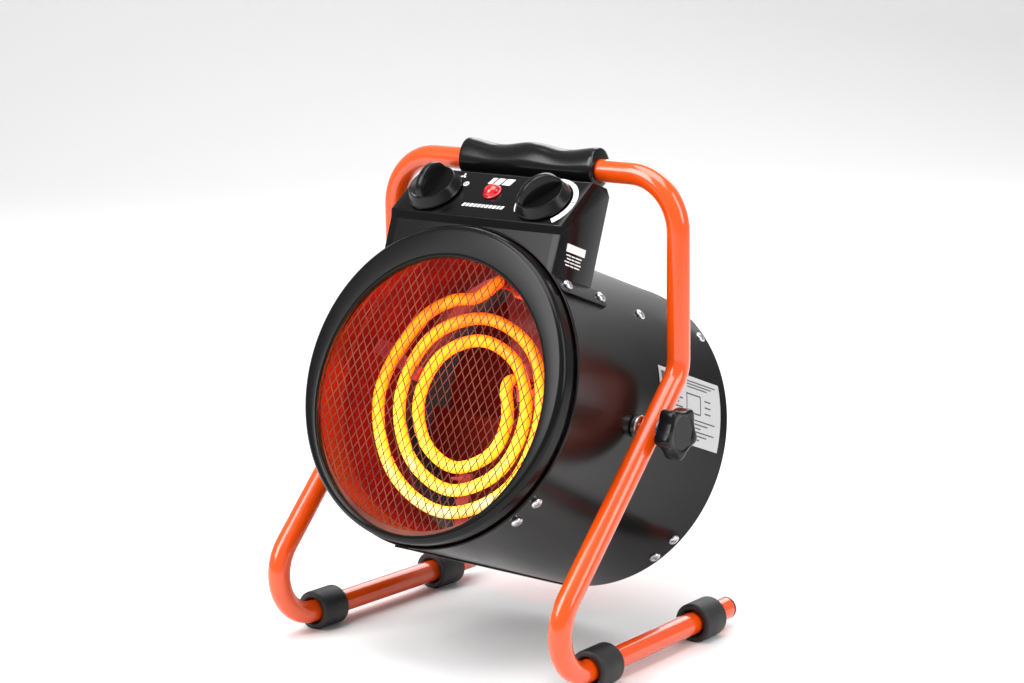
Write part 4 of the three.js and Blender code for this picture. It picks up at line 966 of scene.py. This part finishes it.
grille = placed("grille_rings", rear_grille(), DRUM)
finish_piece(grille, black_coat, "drum", "black_powder_coat", "rear_grille")
cup_profile = [
    (GRILLE_R - 6 * MM, GRILLE_Y), (GRILLE_R - 2 * MM, GRILLE_Y), (GRILLE_R - 1.2 * MM, GRILLE_Y - 1 * MM),
    (GRILLE_R - 1.2 * MM, GRILLE_Y - 17 * MM), (GRILLE_R, GRILLE_Y - 17 * MM), (GRILLE_R, GRILLE_Y),
    (GRILLE_R - 0.9 * MM, GRILLE_Y + 1.1 * MM), (GRILLE_R - 6 * MM, GRILLE_Y + 1.2 * MM),
]
cup = placed("grille_cup", turned("grille_cup", cup_profile, 120), DRUM)
finish_piece(cup, black_coat, "drum", "black_powder_coat")
disc_profile = [
    (0, GRILLE_Y), (26 * MM, GRILLE_Y), (29 * MM, GRILLE_Y + 0.3 * MM), (29 * MM, GRILLE_Y + 1.2 * MM),
    (20 * MM, GRILLE_Y + 1.2 * MM), (18 * MM, GRILLE_Y + 0.7 * MM), (0, GRILLE_Y + 0.7 * MM),
]
disc = placed("grille_disc", turned("grille_disc", disc_profile, 64), DRUM)
finish_piece(disc, black_coat, "drum", "black_powder_coat")

# ------------------------------------------------------------------ control box
# A folded sheet cover in the same black coat: skirt, sloping panel, top and back in one piece with
# two cheeks, whose flanges lie on the drum and take two screws each.
dial = next(j for j in frame["joints"] if j["name"] == "mode_turn")
panel_out = Vector(dial["axis"]).normalized()
panel_up = panel_out.cross(Vector((1, 0, 0))).normalized()
panel_middle = Vector((pivot.x, dial["pos_m"][1], dial["pos_m"][2])) + panel_up * (1.5 * MM)
PANEL = Matrix((
    (1, panel_up.x, panel_out.x, panel_middle.x),
    (0, panel_up.y, panel_out.y, panel_middle.y),
    (0, panel_up.z, panel_out.z, panel_middle.z),
    (0, 0, 0, 1),
))
BOX_HALF = 74 * MM
BOX_SHEET = 1.2 * MM
box_outline = [
    (-77.2, 0.0, 0.0), (-77.2, 112.0, 2.0), (-78.8, 118.0, 2.2), (-53.5, 154.0, 3.2), (-36.0, 154.0, 1.6),
    (-31.0, 149.0, 1.6), (-31.0, 0.0, 0.0),
]


def rounded_outline(corners, steps=5):
    """Rounds each corner of an open outline of (y, z, radius) in mm."""
    line = []
    for i, (y, z, radius) in enumerate(corners):
        here = Vector((y, z))
        if radius == 0:
            line.append(here)
            continue
        before = Vector(corners[i - 1][:2])
        after = Vector(corners[i + 1][:2])
        into, out = (here - before).normalized(), (after - here).normalized()
        turn = into.angle(out)
        reach = radius * math.tan(turn / 2)
        first, last = here - into * reach, here + out * reach
        for k in range(steps + 1):
            t = k / steps
            line.append(first * (1 - t) ** 2 + here * (2 * t * (1 - t)) + last * t ** 2)
    return line


def box_cover():
    """The outline carried from cheek to cheek, its edges broken, and cut to the drum's curve below."""
    outline = rounded_outline(box_outline)
    half = BOX_HALF / MM
    edge = 1.0
    seat = 111.8
    form = bmesh.new()
    columns = [-half, -half + 0.35 * edge, -half + edge]
    columns += [(-half + edge) + (2 * half - 2 * edge) * k / 24 for k in range(1, 24)]
    columns += [half - edge, half - 0.35 * edge, half]
    grid = []
    for x in columns:
        gap = half - abs(x)
        tuck = 0.0 if gap >= edge else edge - math.sqrt(max(edge ** 2 - (edge - gap) ** 2, 0))
        on_drum = math.sqrt(max(seat ** 2 - x ** 2, 0))
        row = []
        for n, p in enumerate(outline):
            inward = Vector((0, 0))
            if tuck:
                ahead = outline[min(n + 1, len(outline) - 1)] - outline[max(n - 1, 0)]
                inward = Vector((ahead.y, -ahead.x)).normalized() * tuck
            q = p + inward
            row.append(form.verts.new((x * MM, q.x * MM, max(q.y, on_drum) * MM)))
        grid.append(row)
    for a, b in zip(grid, grid[1:]):
        for n in range(len(outline) - 1):
            form.faces.new((a[n], b[n], b[n + 1], a[n + 1]))
    for row in (grid[0], grid[-1]):
        form.faces.new(row)
    bmesh.ops.recalc_face_normals(form, faces=form.faces)
    bmesh.ops.triangulate(form, faces=[f for f in form.faces if len(f.verts) > 4])
    mesh = bpy.data.meshes.new("box_cover")
    form.to_mesh(mesh)
    form.free()
    return mesh


cover = placed("box_cover", box_cover(), DRUM, smooth=35)
finish_piece(cover, black_coat, "drum", "black_powder_coat", "control_cover")

# Each cheek's flange: a strip bent to the drum's curve, running a little past the box at the back.
FLANGE_FRONT, FLANGE_BACK = -77.0 * MM, -22.5 * MM


def cheek_flange(name, sign):
    seat = DRUM_R + 0.25 * MM
    first = math.asin((BOX_HALF - 0.8 * MM) / seat)
    last = math.radians(48.2)
    points, faces = [], []
    steps = 10
    lengths = (
        (FLANGE_FRONT, 0.0), (FLANGE_FRONT + 1.2 * MM, 1.0),
        (FLANGE_BACK - 1.5 * MM, 1.0), (FLANGE_BACK, 0.0),
    )
    for y, cut in lengths:
        for k in range(steps + 1):
            a = first + (last - first - (0 if cut else 0.012)) * k / steps
            for r in (seat, seat + BOX_SHEET):
                points.append((sign * r * math.sin(a), y, r * math.cos(a)))
    row = 2 * (steps + 1)
    for i in range(3):
        for k in range(steps):
            for m in (0, 1):
                a = i * row + 2 * k + m
                faces.append((a, a + 2, a + row + 2, a + row))
        for k in (0, steps):
            a = i * row + 2 * k
            faces.append((a, a + 1, a + row + 1, a + row))
    for i in (0, 3):
        for k in range(steps):
            a = i * row + 2 * k
            faces.append((a, a + 1, a + 3, a + 2))
    return mesh_from(name, points, faces)


for side, sign in (("right", 1), ("left", -1)):
    flange = placed("cheek_flange_" + side, cheek_flange("cheek_flange_" + side, sign), DRUM, smooth=35)
    finish_piece(flange, black_coat, "drum", "black_powder_coat")

# ------------------------------------------------------------------ panel print
# White silk-screen marks on the panel: a tapering heat scale round the thermostat knob, two small
# function signs by the mode knob and plain dashes. All the marks are generic.
white_ink = skinned_material(
    "white_ink", (0.80, 0.80, 0.79), (0.70, 0.70, 0.69), bump=0.00003,
    patch_size=300.0, patch_amount=0.5, grain_size=1500.0, grain_depth=0.3, gloss_low=0.35, gloss_high=0.5,
)
INK = 0.12 * MM
KNOB_SPACING = abs(dial["pos_m"][0] - pivot.x) / MM
KNOB_LOW = -1.5


def ink_plate(name, outlines, matrix, lift=0.04 * MM):
    """Flat marks with a little thickness: each outline is a closed ring of (x, y) in mm."""
    points, faces = [], []
    for outline in outlines:
        first, count = len(points), len(outline)
        for z in (lift, lift + INK):
            points += [(x * MM, y * MM, z) for x, y in outline]
        faces.append(tuple(range(first, first + count)))
        faces.append(tuple(range(first + count, first + 2 * count)))
        for k in range(count):
            j = (k + 1) % count
            faces.append((first + k, first + j, first + count + j, first + count + k))
    return placed(name, mesh_from(name, points, faces), matrix)


def ring_stroke(x, y, inner, outer, start=0, end=360, steps=24):
    """A bent bar between two radii; the radii may be pairs for a taper."""
    inner = inner if isinstance(inner, tuple) else (inner, inner)
    outer = outer if isinstance(outer, tuple) else (outer, outer)
    near, far = [], []
    for k in range(steps + 1):
        t = k / steps
        a = math.radians(start + (end - start) * t)
        r0 = inner[0] + (inner[1] - inner[0]) * t
        r1 = outer[0] + (outer[1] - outer[0]) * t
        near.append((x + r0 * math.cos(a), y + r0 * math.sin(a)))
        far.append((x + r1 * math.cos(a), y + r1 * math.sin(a)))
    return far + near[::-1]


scale_marks = []
SCALE_PARTS = 5
SCALE_START, SCALE_SWEEP, SCALE_GAP = 214, 262, 1.6
SCALE_R = 21.2
for part in range(SCALE_PARTS):
    a = SCALE_START - SCALE_SWEEP * part / SCALE_PARTS
    b = SCALE_START - SCALE_SWEEP * (part + 1) / SCALE_PARTS + SCALE_GAP
    wide_a, wide_b = 0.6 + 4.3 * part / SCALE_PARTS, 0.6 + 4.3 * (part + 0.98) / SCALE_PARTS
    outside = (SCALE_R + wide_a, SCALE_R + wide_b)
    scale_marks.append(ring_stroke(KNOB_SPACING, KNOB_LOW, SCALE_R, outside, a, b, 14))
heat_scale = ink_plate("heat_scale", scale_marks, PANEL)
finish_piece(heat_scale, white_ink, "drum", "label_film")

sign_x = -KNOB_SPACING + 20.0
sign_marks = [ring_stroke(sign_x, 9.1, 1.5, 2.3)]
sign_marks.append([(sign_x - 0.4, 7.5), (sign_x + 0.4, 7.5), (sign_x + 0.4, 10.7), (sign_x - 0.4, 10.7)])
for blade in range(3):
    turn = math.radians(90 + 120 * blade)
    leaf = [(0.3, -0.3), (1.2, -1.0), (2.4, -0.5), (2.5, 0.4), (1.4, 0.6), (0.3, 0.3)]
    sign_marks.append([
        (-KNOB_SPACING + 13.2 + x * math.cos(turn) - y * math.sin(turn),
         16.8 + x * math.sin(turn) + y * math.cos(turn))
        for x, y in leaf
    ])
mode_signs = ink_plate("mode_signs", sign_marks, PANEL)
finish_piece(mode_signs, white_ink, "drum", "label_film")


def dashes(x0, y0, lengths, height, slant=0.25, gap=1.0):
    """A row of slanting dashes, each of its own length."""
    marks, x = [], x0
    for length in lengths:
        lean = height * slant
        marks.append([(x, y0), (x + length, y0), (x + length + lean, y0 + height), (x + lean, y0 + height)])
        x += length + gap
    return marks


dash_lengths = (2.2, 1.6, 2.6, 1.8, 2.4, 1.6, 2.4, 2.0, 2.4, 1.8, 2.2)
dash_row = dashes(-17.5, -12.6, dash_lengths, 3.1, slant=0.3, gap=1.2)
panel_dashes = ink_plate("panel_dashes", dash_row, PANEL)
finish_piece(panel_dashes, white_ink, "drum", "label_film")
panel_bars = ink_plate("panel_bars", dashes(-9.5, 11.2, (3.6, 5.4, 7.0), 6.2, slant=0.3, gap=1.5), PANEL)
finish_piece(panel_bars, white_ink, "drum", "label_film")

# ------------------------------------------------------------------ cheek print
# A small block printed on the outer face of the box's right cheek, of plain bars only.


def cheek_matrix(sign):
    """Marks on a cheek: across is along the drum, up is the drum's up, out is to the side."""
    local = Matrix(((0, 0, sign, sign * BOX_HALF), (sign, 0, 0, -57 * MM), (0, 1, 0, 103 * MM), (0, 0, 0, 1)))
    return DRUM @ local


cheek_marks = [[(-11, 0), (11, 0), (11, 5.4), (-11, 5.4)]]
for line, length in enumerate((20, 17, 21, 18)):
    y = -2.6 - 2.2 * line
    bars = (length * 0.28, length * 0.2, length * 0.36)
    cheek_marks += dashes(-length / 2, y, bars, 0.85, slant=0.0, gap=0.8)
cheek_print = ink_plate("cheek_print", cheek_marks, cheek_matrix(1))
finish_piece(cheek_print, white_ink, "drum", "label_film")

# ------------------------------------------------------------------ control knobs
# Two black moulded knobs, each a flanged skirt drawn in to a thin rim with an arched finger bar
# across its face, on plated steel spindles. They turn in the panel.
knob_plastic = skinned_material(
    "knob_plastic", (0.004, 0.004, 0.0043), (0.0065, 0.0065, 0.0068), ior=1.32, bump=0.00002,
    patch_size=30.0, patch_amount=0.5, grain_size=1500.0, grain_depth=0.3, gloss_low=0.2, gloss_high=0.27,
)
BAR_HALF = 16.2
MODE_HEADING, THERMOSTAT_HEADING = 90, 58


def circle_of(form, radius, height, sides):
    """A level ring of vertices; the radius and the height are in mm."""
    return [
        form.verts.new((
            radius * MM * math.cos(2 * math.pi * k / sides),
            radius * MM * math.sin(2 * math.pi * k / sides),
            height * MM,
        ))
        for k in range(sides)
    ]


def skin_between(form, rings):
    """Joins each ring to the next and closes the first and the last."""
    count = len(rings[0])
    for a, b in zip(rings, rings[1:]):
        for k in range(count):
            j = (k + 1) % count
            form.faces.new((a[k], a[j], b[j], b[k]))
    form.faces.new(rings[0][::-1])
    form.faces.new(rings[-1])


def mesh_of(name, form):
    """The mesh of a form with its faces turned outwards."""
    bmesh.ops.recalc_face_normals(form, faces=form.faces)
    mesh = bpy.data.meshes.new(name)
    form.to_mesh(mesh)
    form.free()
    return mesh


def control_knob(name):
    """Flanged skirt that draws in to a thin rim, scooped face, and an arched finger bar across it."""
    form = bmesh.new()
    sides = 96
    profile = [
        (19.5, 1.0), (19.9, 1.3), (19.9, 2.0), (19.5, 2.5), (19.2, 3.2), (17.2, 8.5), (17.0, 9.0),
        (16.7, 9.25), (16.3, 9.3), (15.9, 9.1), (15.2, 8.7), (12.0, 8.1), (7.0, 7.8),
    ]
    skin_between(form, [circle_of(form, r, z, sides) for r, z in profile])
    stations, rows = 40, []
    for k in range(stations + 1):
        angle = math.pi * (0.03 + 0.94 * k / stations)
        x = -BAR_HALF * math.cos(angle)
        top = 7.0 + 14.5 * math.sin(angle) ** 0.9
        foot, crown = 3.3, 2.55
        rows.append([form.verts.new((x * MM, y * MM, z * MM)) for y, z in (
            (-foot, 6.9), (-foot + (foot - crown) * 0.5, (6.9 + top) / 2),
            (-crown, top - 1.0), (-crown + 0.3, top - 0.35),
            (-crown + 1.0, top), (crown - 1.0, top), (crown - 0.3, top - 0.35), (crown, top - 1.0),
            (foot - (foot - crown) * 0.5, (6.9 + top) / 2), (foot, 6.9),
        )])
    skin_between(form, rows)
    return mesh_of(name, form)


for word, sign, heading in (("mode", -1, MODE_HEADING), ("thermostat", 1, THERMOSTAT_HEADING)):
    matrix = PANEL @ Matrix.Translation((sign * KNOB_SPACING * MM, KNOB_LOW * MM, 0))
    matrix = matrix @ Matrix.Rotation(math.radians(heading), 4, "Z")
    knob = placed(word + "_control_knob", control_knob(word + "_control_knob"), matrix, smooth=32)
    finish_piece(knob, knob_plastic, word + "_dial", "knob_plastic", word + "_knob")

plated_steel = skinned_material(
    "zinc_plated_steel", (0.66, 0.67, 0.70), (0.5, 0.51, 0.54), metallic=1.0, bump=0.00006,
    patch_size=140.0, patch_amount=0.7, grain_size=1100.0, grain_depth=0.4, gloss_low=0.2, gloss_high=0.34,
)
carry(plated_steel, "mode_spindle", "thermostat_spindle", "thermal_cutout")

# ------------------------------------------------------------------ pilot lamp
# A small domed lens of clear red plastic in a thin collar; it shines a little when the heater is on.


def lamp_lens():
    material = bpy.data.materials.new("red_lens")
    material.use_nodes = True
    nodes, links = material.node_tree.nodes, material.node_tree.links
    shader = nodes["Principled BSDF"]
    shader.inputs["Coat Weight"].default_value = 0.6
    shader.inputs["Coat Roughness"].default_value = 0.05
    shader.inputs["Emission Strength"].default_value = 0.05
    place = nodes.new("ShaderNodeTexCoord")
    cloud = nodes.new("ShaderNodeTexNoise")
    cloud.inputs["Scale"].default_value = 240
    links.new(place.outputs["Object"], cloud.inputs["Vector"])
    ramp = nodes.new("ShaderNodeValToRGB")
    ramp.color_ramp.elements[0].position = 0.35
    ramp.color_ramp.elements[0].color = (0.42, 0.002, 0.006, 1)
    ramp.color_ramp.elements[1].position = 0.7
    ramp.color_ramp.elements[1].color = (0.8, 0.012, 0.02, 1)
    links.new(cloud.outputs["Fac"], ramp.inputs["Fac"])
    links.new(ramp.outputs["Color"], shader.inputs["Base Color"])
    links.new(ramp.outputs["Color"], shader.inputs["Emission Color"])
    gloss = nodes.new("ShaderNodeMapRange")
    gloss.inputs["To Min"].default_value = 0.08
    gloss.inputs["To Max"].default_value = 0.16
    links.new(cloud.outputs["Fac"], gloss.inputs["Value"])
    links.new(gloss.outputs["Result"], shader.inputs["Roughness"])
    return material


lens_profile = [
    (0, 0.3), (6.8, 0.3), (6.9, 0.8), (6.6, 1.3), (6.1, 1.5), (5.9, 2.4), (5.2, 3.7), (4.1, 4.7),
    (2.7, 5.35), (1.3, 5.65), (0, 5.7),
]
lens = turned("lamp_lens", [(r * MM, z * MM) for r, z in lens_profile], 48)
lens.transform(Matrix.Rotation(math.pi / 2, 4, "X"))
lamp = placed("lamp_lens", lens, PANEL @ Matrix.Translation((0, 3 * MM, 0)), smooth=50)
finish_piece(lamp, lamp_lens(), "drum", "red_lens", "pilot_lamp")

# ------------------------------------------------------------------ inside the box and the cable gland
# Rotary switch, thermostat and terminal block behind the panel, and the gland that the supply lead
# would pass through in the box's back.
dark_housing = skinned_material(
    "dark_housing", (0.03, 0.03, 0.031), (0.045, 0.045, 0.046), bump=0.0001,
    patch_size=50.0, patch_amount=0.6, grain_size=900.0, grain_depth=0.6, gloss_low=0.4, gloss_high=0.55,
)
block_ceramic = skinned_material(
    "block_ceramic", (0.68, 0.64, 0.56), (0.6, 0.56, 0.48), bump=0.0001,
    patch_size=90.0, patch_amount=0.6, grain_size=900.0, grain_depth=0.6, gloss_low=0.4, gloss_high=0.6,
)
carry(dark_housing, "mode_switch", "thermostat")
carry(block_ceramic, "terminal_block")
gland_profile = [
    (4, -38), (6, -38), (6, -30.6), (8.3, -30.6), (8.6, -30), (8.6, -26.6), (8.2, -26), (6.9, -25.2),
]
for rib in range(3):
    y = -24.6 + 1.7 * rib
    gland_profile += [(6.9, y), (6.9, y + 0.8), (6.2, y + 1.0), (6.2, y + 1.5)]
gland_profile += [(5.6, -18.4), (4.6, -18), (4, -18.4)]
gland_mesh = turned("cable_gland_ribbed", [(r * MM, y * MM) for r, y in gland_profile], 36)
gland_place = DRUM @ Matrix.Translation((-45 * MM, 0, 128 * MM))
gland = placed("cable_gland_ribbed", gland_mesh, gland_place, smooth=35)
finish_piece(gland, black_moulding, "drum", "black_plastic", "cable_gland")

# ------------------------------------------------------------------ pan-head screws
# Sixteen zinc-plated cross-recess screws: two in each cheek flange, one through the liner's flare,
# two for the ring and three for the grille on each side.


def screw_head(name):
    """A low domed head with a four-winged recess sunk in its crown."""
    form = bmesh.new()
    sides = 48
    levels = [(4.0, 0.05), (4.1, 0.5), (4.05, 1.0), (3.7, 1.6), (3.0, 2.1), (2.3, 2.35)]
    rings = [circle_of(form, r, z, sides) for r, z in levels]
    for depth, shrink in ((2.42, 1.0), (1.5, 0.8)):
        ring_now = []
        for k in range(sides):
            a = 2 * math.pi * k / sides
            wing = abs(math.cos(2 * a)) ** 3
            r = (0.55 + 1.45 * wing) * shrink
            ring_now.append(form.verts.new((r * MM * math.cos(a), r * MM * math.sin(a), depth * MM)))
        rings.append(ring_now)
    skin_between(form, rings)
    return mesh_of(name, form)


screw_nodes = sorted(n for n in frame["nodes"] if n.startswith("screw_"))
for number, node in enumerate(screw_nodes):
    low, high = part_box(node)
    local = DRUM.inverted() @ ((low + high) / 2)
    angle = math.atan2(local.x, local.z)
    flanged = "flange" in node
    seat = DRUM_R + (1.5 * MM if flanged else 0.0)
    turn = math.radians(37 * number)
    matrix = DRUM @ Matrix.Rotation(angle, 4, "Y") @ Matrix.Translation((0, local.y, seat))
    matrix = matrix @ Matrix.Rotation(turn, 4, "Z")
    head = placed("head_of_" + node, screw_head("head_of_" + node), matrix, smooth=32)
    finish_piece(head, plated_steel, "drum", "zinc_steel", node)

# ------------------------------------------------------------------ rating label
# A silver-white printed film stuck on the right side of the drum. Its print is plain bars and boxes.
LABEL_TOP, LABEL_BOTTOM = math.radians(65.5), math.radians(90.5)
LABEL_FRONT, LABEL_BACK = 25.0, 104.5
label_film = skinned_material(
    "label_film", (0.50, 0.50, 0.50), (0.44, 0.44, 0.44), bump=0.00003,
    patch_size=18.0, patch_amount=0.6, grain_size=700.0, grain_depth=0.3, gloss_low=0.35, gloss_high=0.5,
)
label_ink = skinned_material(
    "label_ink", (0.05, 0.05, 0.052), (0.09, 0.09, 0.09), bump=0.00002,
    patch_size=200.0, patch_amount=0.6, grain_size=900.0, grain_depth=0.3, gloss_low=0.4, gloss_high=0.55,
)


def wrapped(name, patches, inner, thickness, steps=24):
    """Patches of (back0, back1, down0, down1) in mm laid round the drum's right side, measured from
    the label's top front corner."""
    points, faces = [], []
    for y0, y1, d0, d1 in patches:
        first = len(points)
        n = max(2, int(steps * (d1 - d0) / 48) + 1)
        for k in range(n + 1):
            a = LABEL_TOP + (d0 + (d1 - d0) * k / n) * MM / DRUM_R
            for y in (y0, y1):
                for r in (inner, inner + thickness):
                    points.append((r * math.sin(a), (LABEL_FRONT + y) * MM, r * math.cos(a)))
        for k in range(n):
            b = first + 4 * k
            faces += [
                (b + 1, b + 3, b + 7, b + 5), (b, b + 2, b + 6, b + 4),
                (b, b + 1, b + 5, b + 4), (b + 2, b + 3, b + 7, b + 6),
            ]
        last = first + 4 * n
        faces += [(first, first + 1, first + 3, first + 2), (last, last + 1, last + 3, last + 2)]
    return mesh_from(name, points, faces)


label_height = (LABEL_BOTTOM - LABEL_TOP) * DRUM_R / MM
label_width = LABEL_BACK - LABEL_FRONT
whole_label = [(0, label_width, 0, label_height)]
film = placed("label_film", wrapped("label_film", whole_label, DRUM_R + 0.3 * MM, 0.25 * MM), DRUM)
finish_piece(film, label_film, "drum", "label_film", "rating_label")
print_marks = [(3, 30, 3, 9.5)]
for line in range(3):
    print_marks.append((36, 74 - 6 * line, 3.5 + 2.2 * line, 4.4 + 2.2 * line))
for line in range(4):
    print_marks.append((4, 24 + 5 * (line % 2), 14.5 + 3.2 * line, 15.6 + 3.2 * line))
print_marks += [
    (34, 35, 13, 27), (52, 53, 13, 27), (35, 52, 13, 14), (35, 52, 26, 27),
    (58, 66, 15, 16), (58, 66, 19.5, 20.5), (58, 66, 24, 25),
]
for line in range(6):
    print_marks.append((6, 72 - 9 * (line % 3), 30.5 + 2.6 * line, 31.4 + 2.6 * line))
ink = placed("label_print", wrapped("label_print", print_marks, DRUM_R + 0.56 * MM, 0.06 * MM), DRUM)
finish_piece(ink, label_ink, "drum", "label_film")

# ------------------------------------------------------------------ side clamps
# On each side a plated stud passes from the drum through a spacer and the leg. A washer and a
# five-lobed black knob, moulded on a plated collar, clamp the leg, so the drum stays at its tilt.
STAR_LOBES = 5
STAR_TURN = math.radians(-3.5)


def star_knob(name):
    """Lobed knob about the X axis: flutes between round lobes, a sunk face and a neck behind."""
    form = bmesh.new()
    sides = 120
    outside = [
        (9.4, 136.8, 0.0), (9.6, 137.1, 0.0),
        (0.74, 137.3, 1.0), (0.9, 137.5, 1.0), (0.97, 138.3, 1.0), (1.0, 139.4, 1.0), (1.0, 147.8, 1.0),
        (0.985, 149.0, 1.0), (0.95, 149.8, 1.0), (0.89, 150.1, 1.0),
        (12.3, 150.1, 0.0), (11.9, 149.9, 0.0), (11.4, 149.4, 0.0),
    ]
    rings = []
    for r, x, lobed in outside:
        row = []
        for k in range(sides):
            a = 2 * math.pi * k / sides
            swell = 0.5 + 0.5 * math.cos(STAR_LOBES * (a - STAR_TURN))
            radius = (14.5 + 4.1 * swell ** 1.6) * r if lobed else r
            row.append(form.verts.new((x * MM, radius * MM * math.cos(a), radius * MM * math.sin(a))))
        rings.append(row)
    skin_between(form, rings)
    return mesh_of(name, form)


def plain_ring(name, x0, x1, outer, inner, soft=0.35):
    """A turned ring about the X axis with its rims broken."""
    profile = [
        (inner, x0), (outer - soft, x0), (outer, x0 + soft),
        (outer, x1 - soft), (outer - soft, x1), (inner, x1),
    ]
    mesh = turned(name, [(r * MM, y * MM) for r, y in profile], 48)
    mesh.transform(Matrix.Rotation(-math.pi / 2, 4, "Z"))
    return mesh


for side, sign in (("right", 1), ("left", -1)):
    matrix = DRUM if sign > 0 else DRUM @ Matrix.Rotation(math.pi, 4, "Z")
    knob = placed("clamp_knob_" + side, star_knob("clamp_knob_" + side), matrix, smooth=40)
    finish_piece(knob, knob_plastic, side + "_clamp_knob", "knob_plastic", "star_knob_" + side)
    collar = placed("knob_collar_" + side, plain_ring("knob_collar_" + side, 134.3, 137.0, 8.0, 3.3), matrix)
    finish_piece(collar, plated_steel, side + "_clamp_knob", "zinc_steel")
    washer = placed("washer_" + side, plain_ring("washer_" + side, 132.3, 133.9, 8.5, 3.3), matrix)
    finish_piece(washer, plated_steel, side + "_washer", "zinc_steel", "clamp_washer_" + side)
    spacer = placed("spacer_" + side, plain_ring("spacer_" + side, 111.8, 115.7, 8.0, 3.3, 0.6), matrix)
    finish_piece(spacer, plated_steel, "drum", "zinc_steel", "pivot_spacer_" + side)
    carry(plated_steel, "clamp_stud_" + side)

# ------------------------------------------------------------------ floor and light
# A plain pale floor that runs up behind, and broad soft lights from the front left, the right,
# above and behind. Two low red glows inside the drum are the coils' own light.
floor_material = bpy.data.materials.new("pale_floor")
floor_material.use_nodes = True
floor_nodes, floor_links = floor_material.node_tree.nodes, floor_material.node_tree.links
floor_shader = floor_nodes["Principled BSDF"]
floor_grain = floor_nodes.new("ShaderNodeTexNoise")
floor_grain.inputs["Scale"].default_value = 3
floor_tone = floor_nodes.new("ShaderNodeMapRange")
floor_tone.inputs["To Min"].default_value = 0.86
floor_tone.inputs["To Max"].default_value = 0.9
floor_links.new(floor_grain.outputs["Fac"], floor_tone.inputs["Value"])
floor_links.new(floor_tone.outputs["Result"], floor_shader.inputs["Base Color"])
floor_shader.inputs["Roughness"].default_value = 0.6
sweep_profile = [(-3.0, 0.0), (2.2, 0.0)]
for k in range(1, 13):
    a = math.radians(90 * k / 12)
    sweep_profile.append((2.2 + 1.2 * math.sin(a), 1.2 * (1 - math.cos(a))))
sweep_profile.append((3.4, 4.5))
floor_points = [(x, y, z) for y, z in sweep_profile for x in (-6.0, 6.0)]
floor_faces = [(2 * k, 2 * k + 1, 2 * k + 3, 2 * k + 2) for k in range(len(sweep_profile) - 1)]
backdrop = placed("floor_sweep", mesh_from("floor_sweep", floor_points, floor_faces))
backdrop.matrix_world = Matrix.Rotation(CAMERA_AZIMUTH, 4, "Z")
backdrop.data.materials.append(floor_material)


LIT_HEIGHT = 0.17


def soft_light(name, azimuth, elevation, distance, width, height, power):
    """A large oblong lamp that looks at the heater from a direction round it."""
    data = bpy.data.lights.new(name, "AREA")
    data.shape = "RECTANGLE"
    data.size, data.size_y = width, height
    data.energy = power
    lamp_object = bpy.data.objects.new(name, data)
    bpy.context.scene.collection.objects.link(lamp_object)
    turn = Matrix.Rotation(math.radians(azimuth), 4, "Z")
    turn = turn @ Matrix.Rotation(math.pi / 2 - math.radians(elevation), 4, "X")
    middle = Matrix.Translation((0, 0, LIT_HEIGHT))
    lamp_object.matrix_world = middle @ turn @ Matrix.Translation((0, 0, distance))


soft_light("key_left", -25, 38, 2.2, 1.0, 1.4, 38)
soft_light("fill_right", 95, 30, 2.2, 0.8, 1.6, 20)
soft_light("top", 20, 82, 2.0, 1.6, 1.6, 42)
soft_light("rim_back", 200, 35, 2.4, 1.6, 1.2, 20)



def red_glow(name, power, colour, spot):
    """A small lamp inside the drum that tilts with it."""
    data = bpy.data.lights.new(name, "POINT")
    data.energy = power
    data.color = colour
    data.shadow_soft_size = 0.03
    lamp_object = bpy.data.objects.new(name, data)
    bpy.context.scene.collection.objects.link(lamp_object)
    lamp_object.matrix_world = DRUM @ Matrix.Translation(spot)
    lamp_object.parent = frame["bodies"]["drum"]


red_glow("coil_glow", 1.1, (1.0, 0.09, 0.02), (0, -0.02, -MOUTH_DROP))
red_glow("back_glow", 0.5, (1.0, 0.05, 0.02), (-0.055, 0.068, 0.03))

world = bpy.data.worlds.new("studio")
bpy.context.scene.world = world
world.use_nodes = True
world.node_tree.nodes["Background"].inputs["Color"].default_value = (1, 1, 1, 1)
world.node_tree.nodes["Background"].inputs["Strength"].default_value = 0.46
bpy.context.scene.view_settings.view_transform = "Standard"
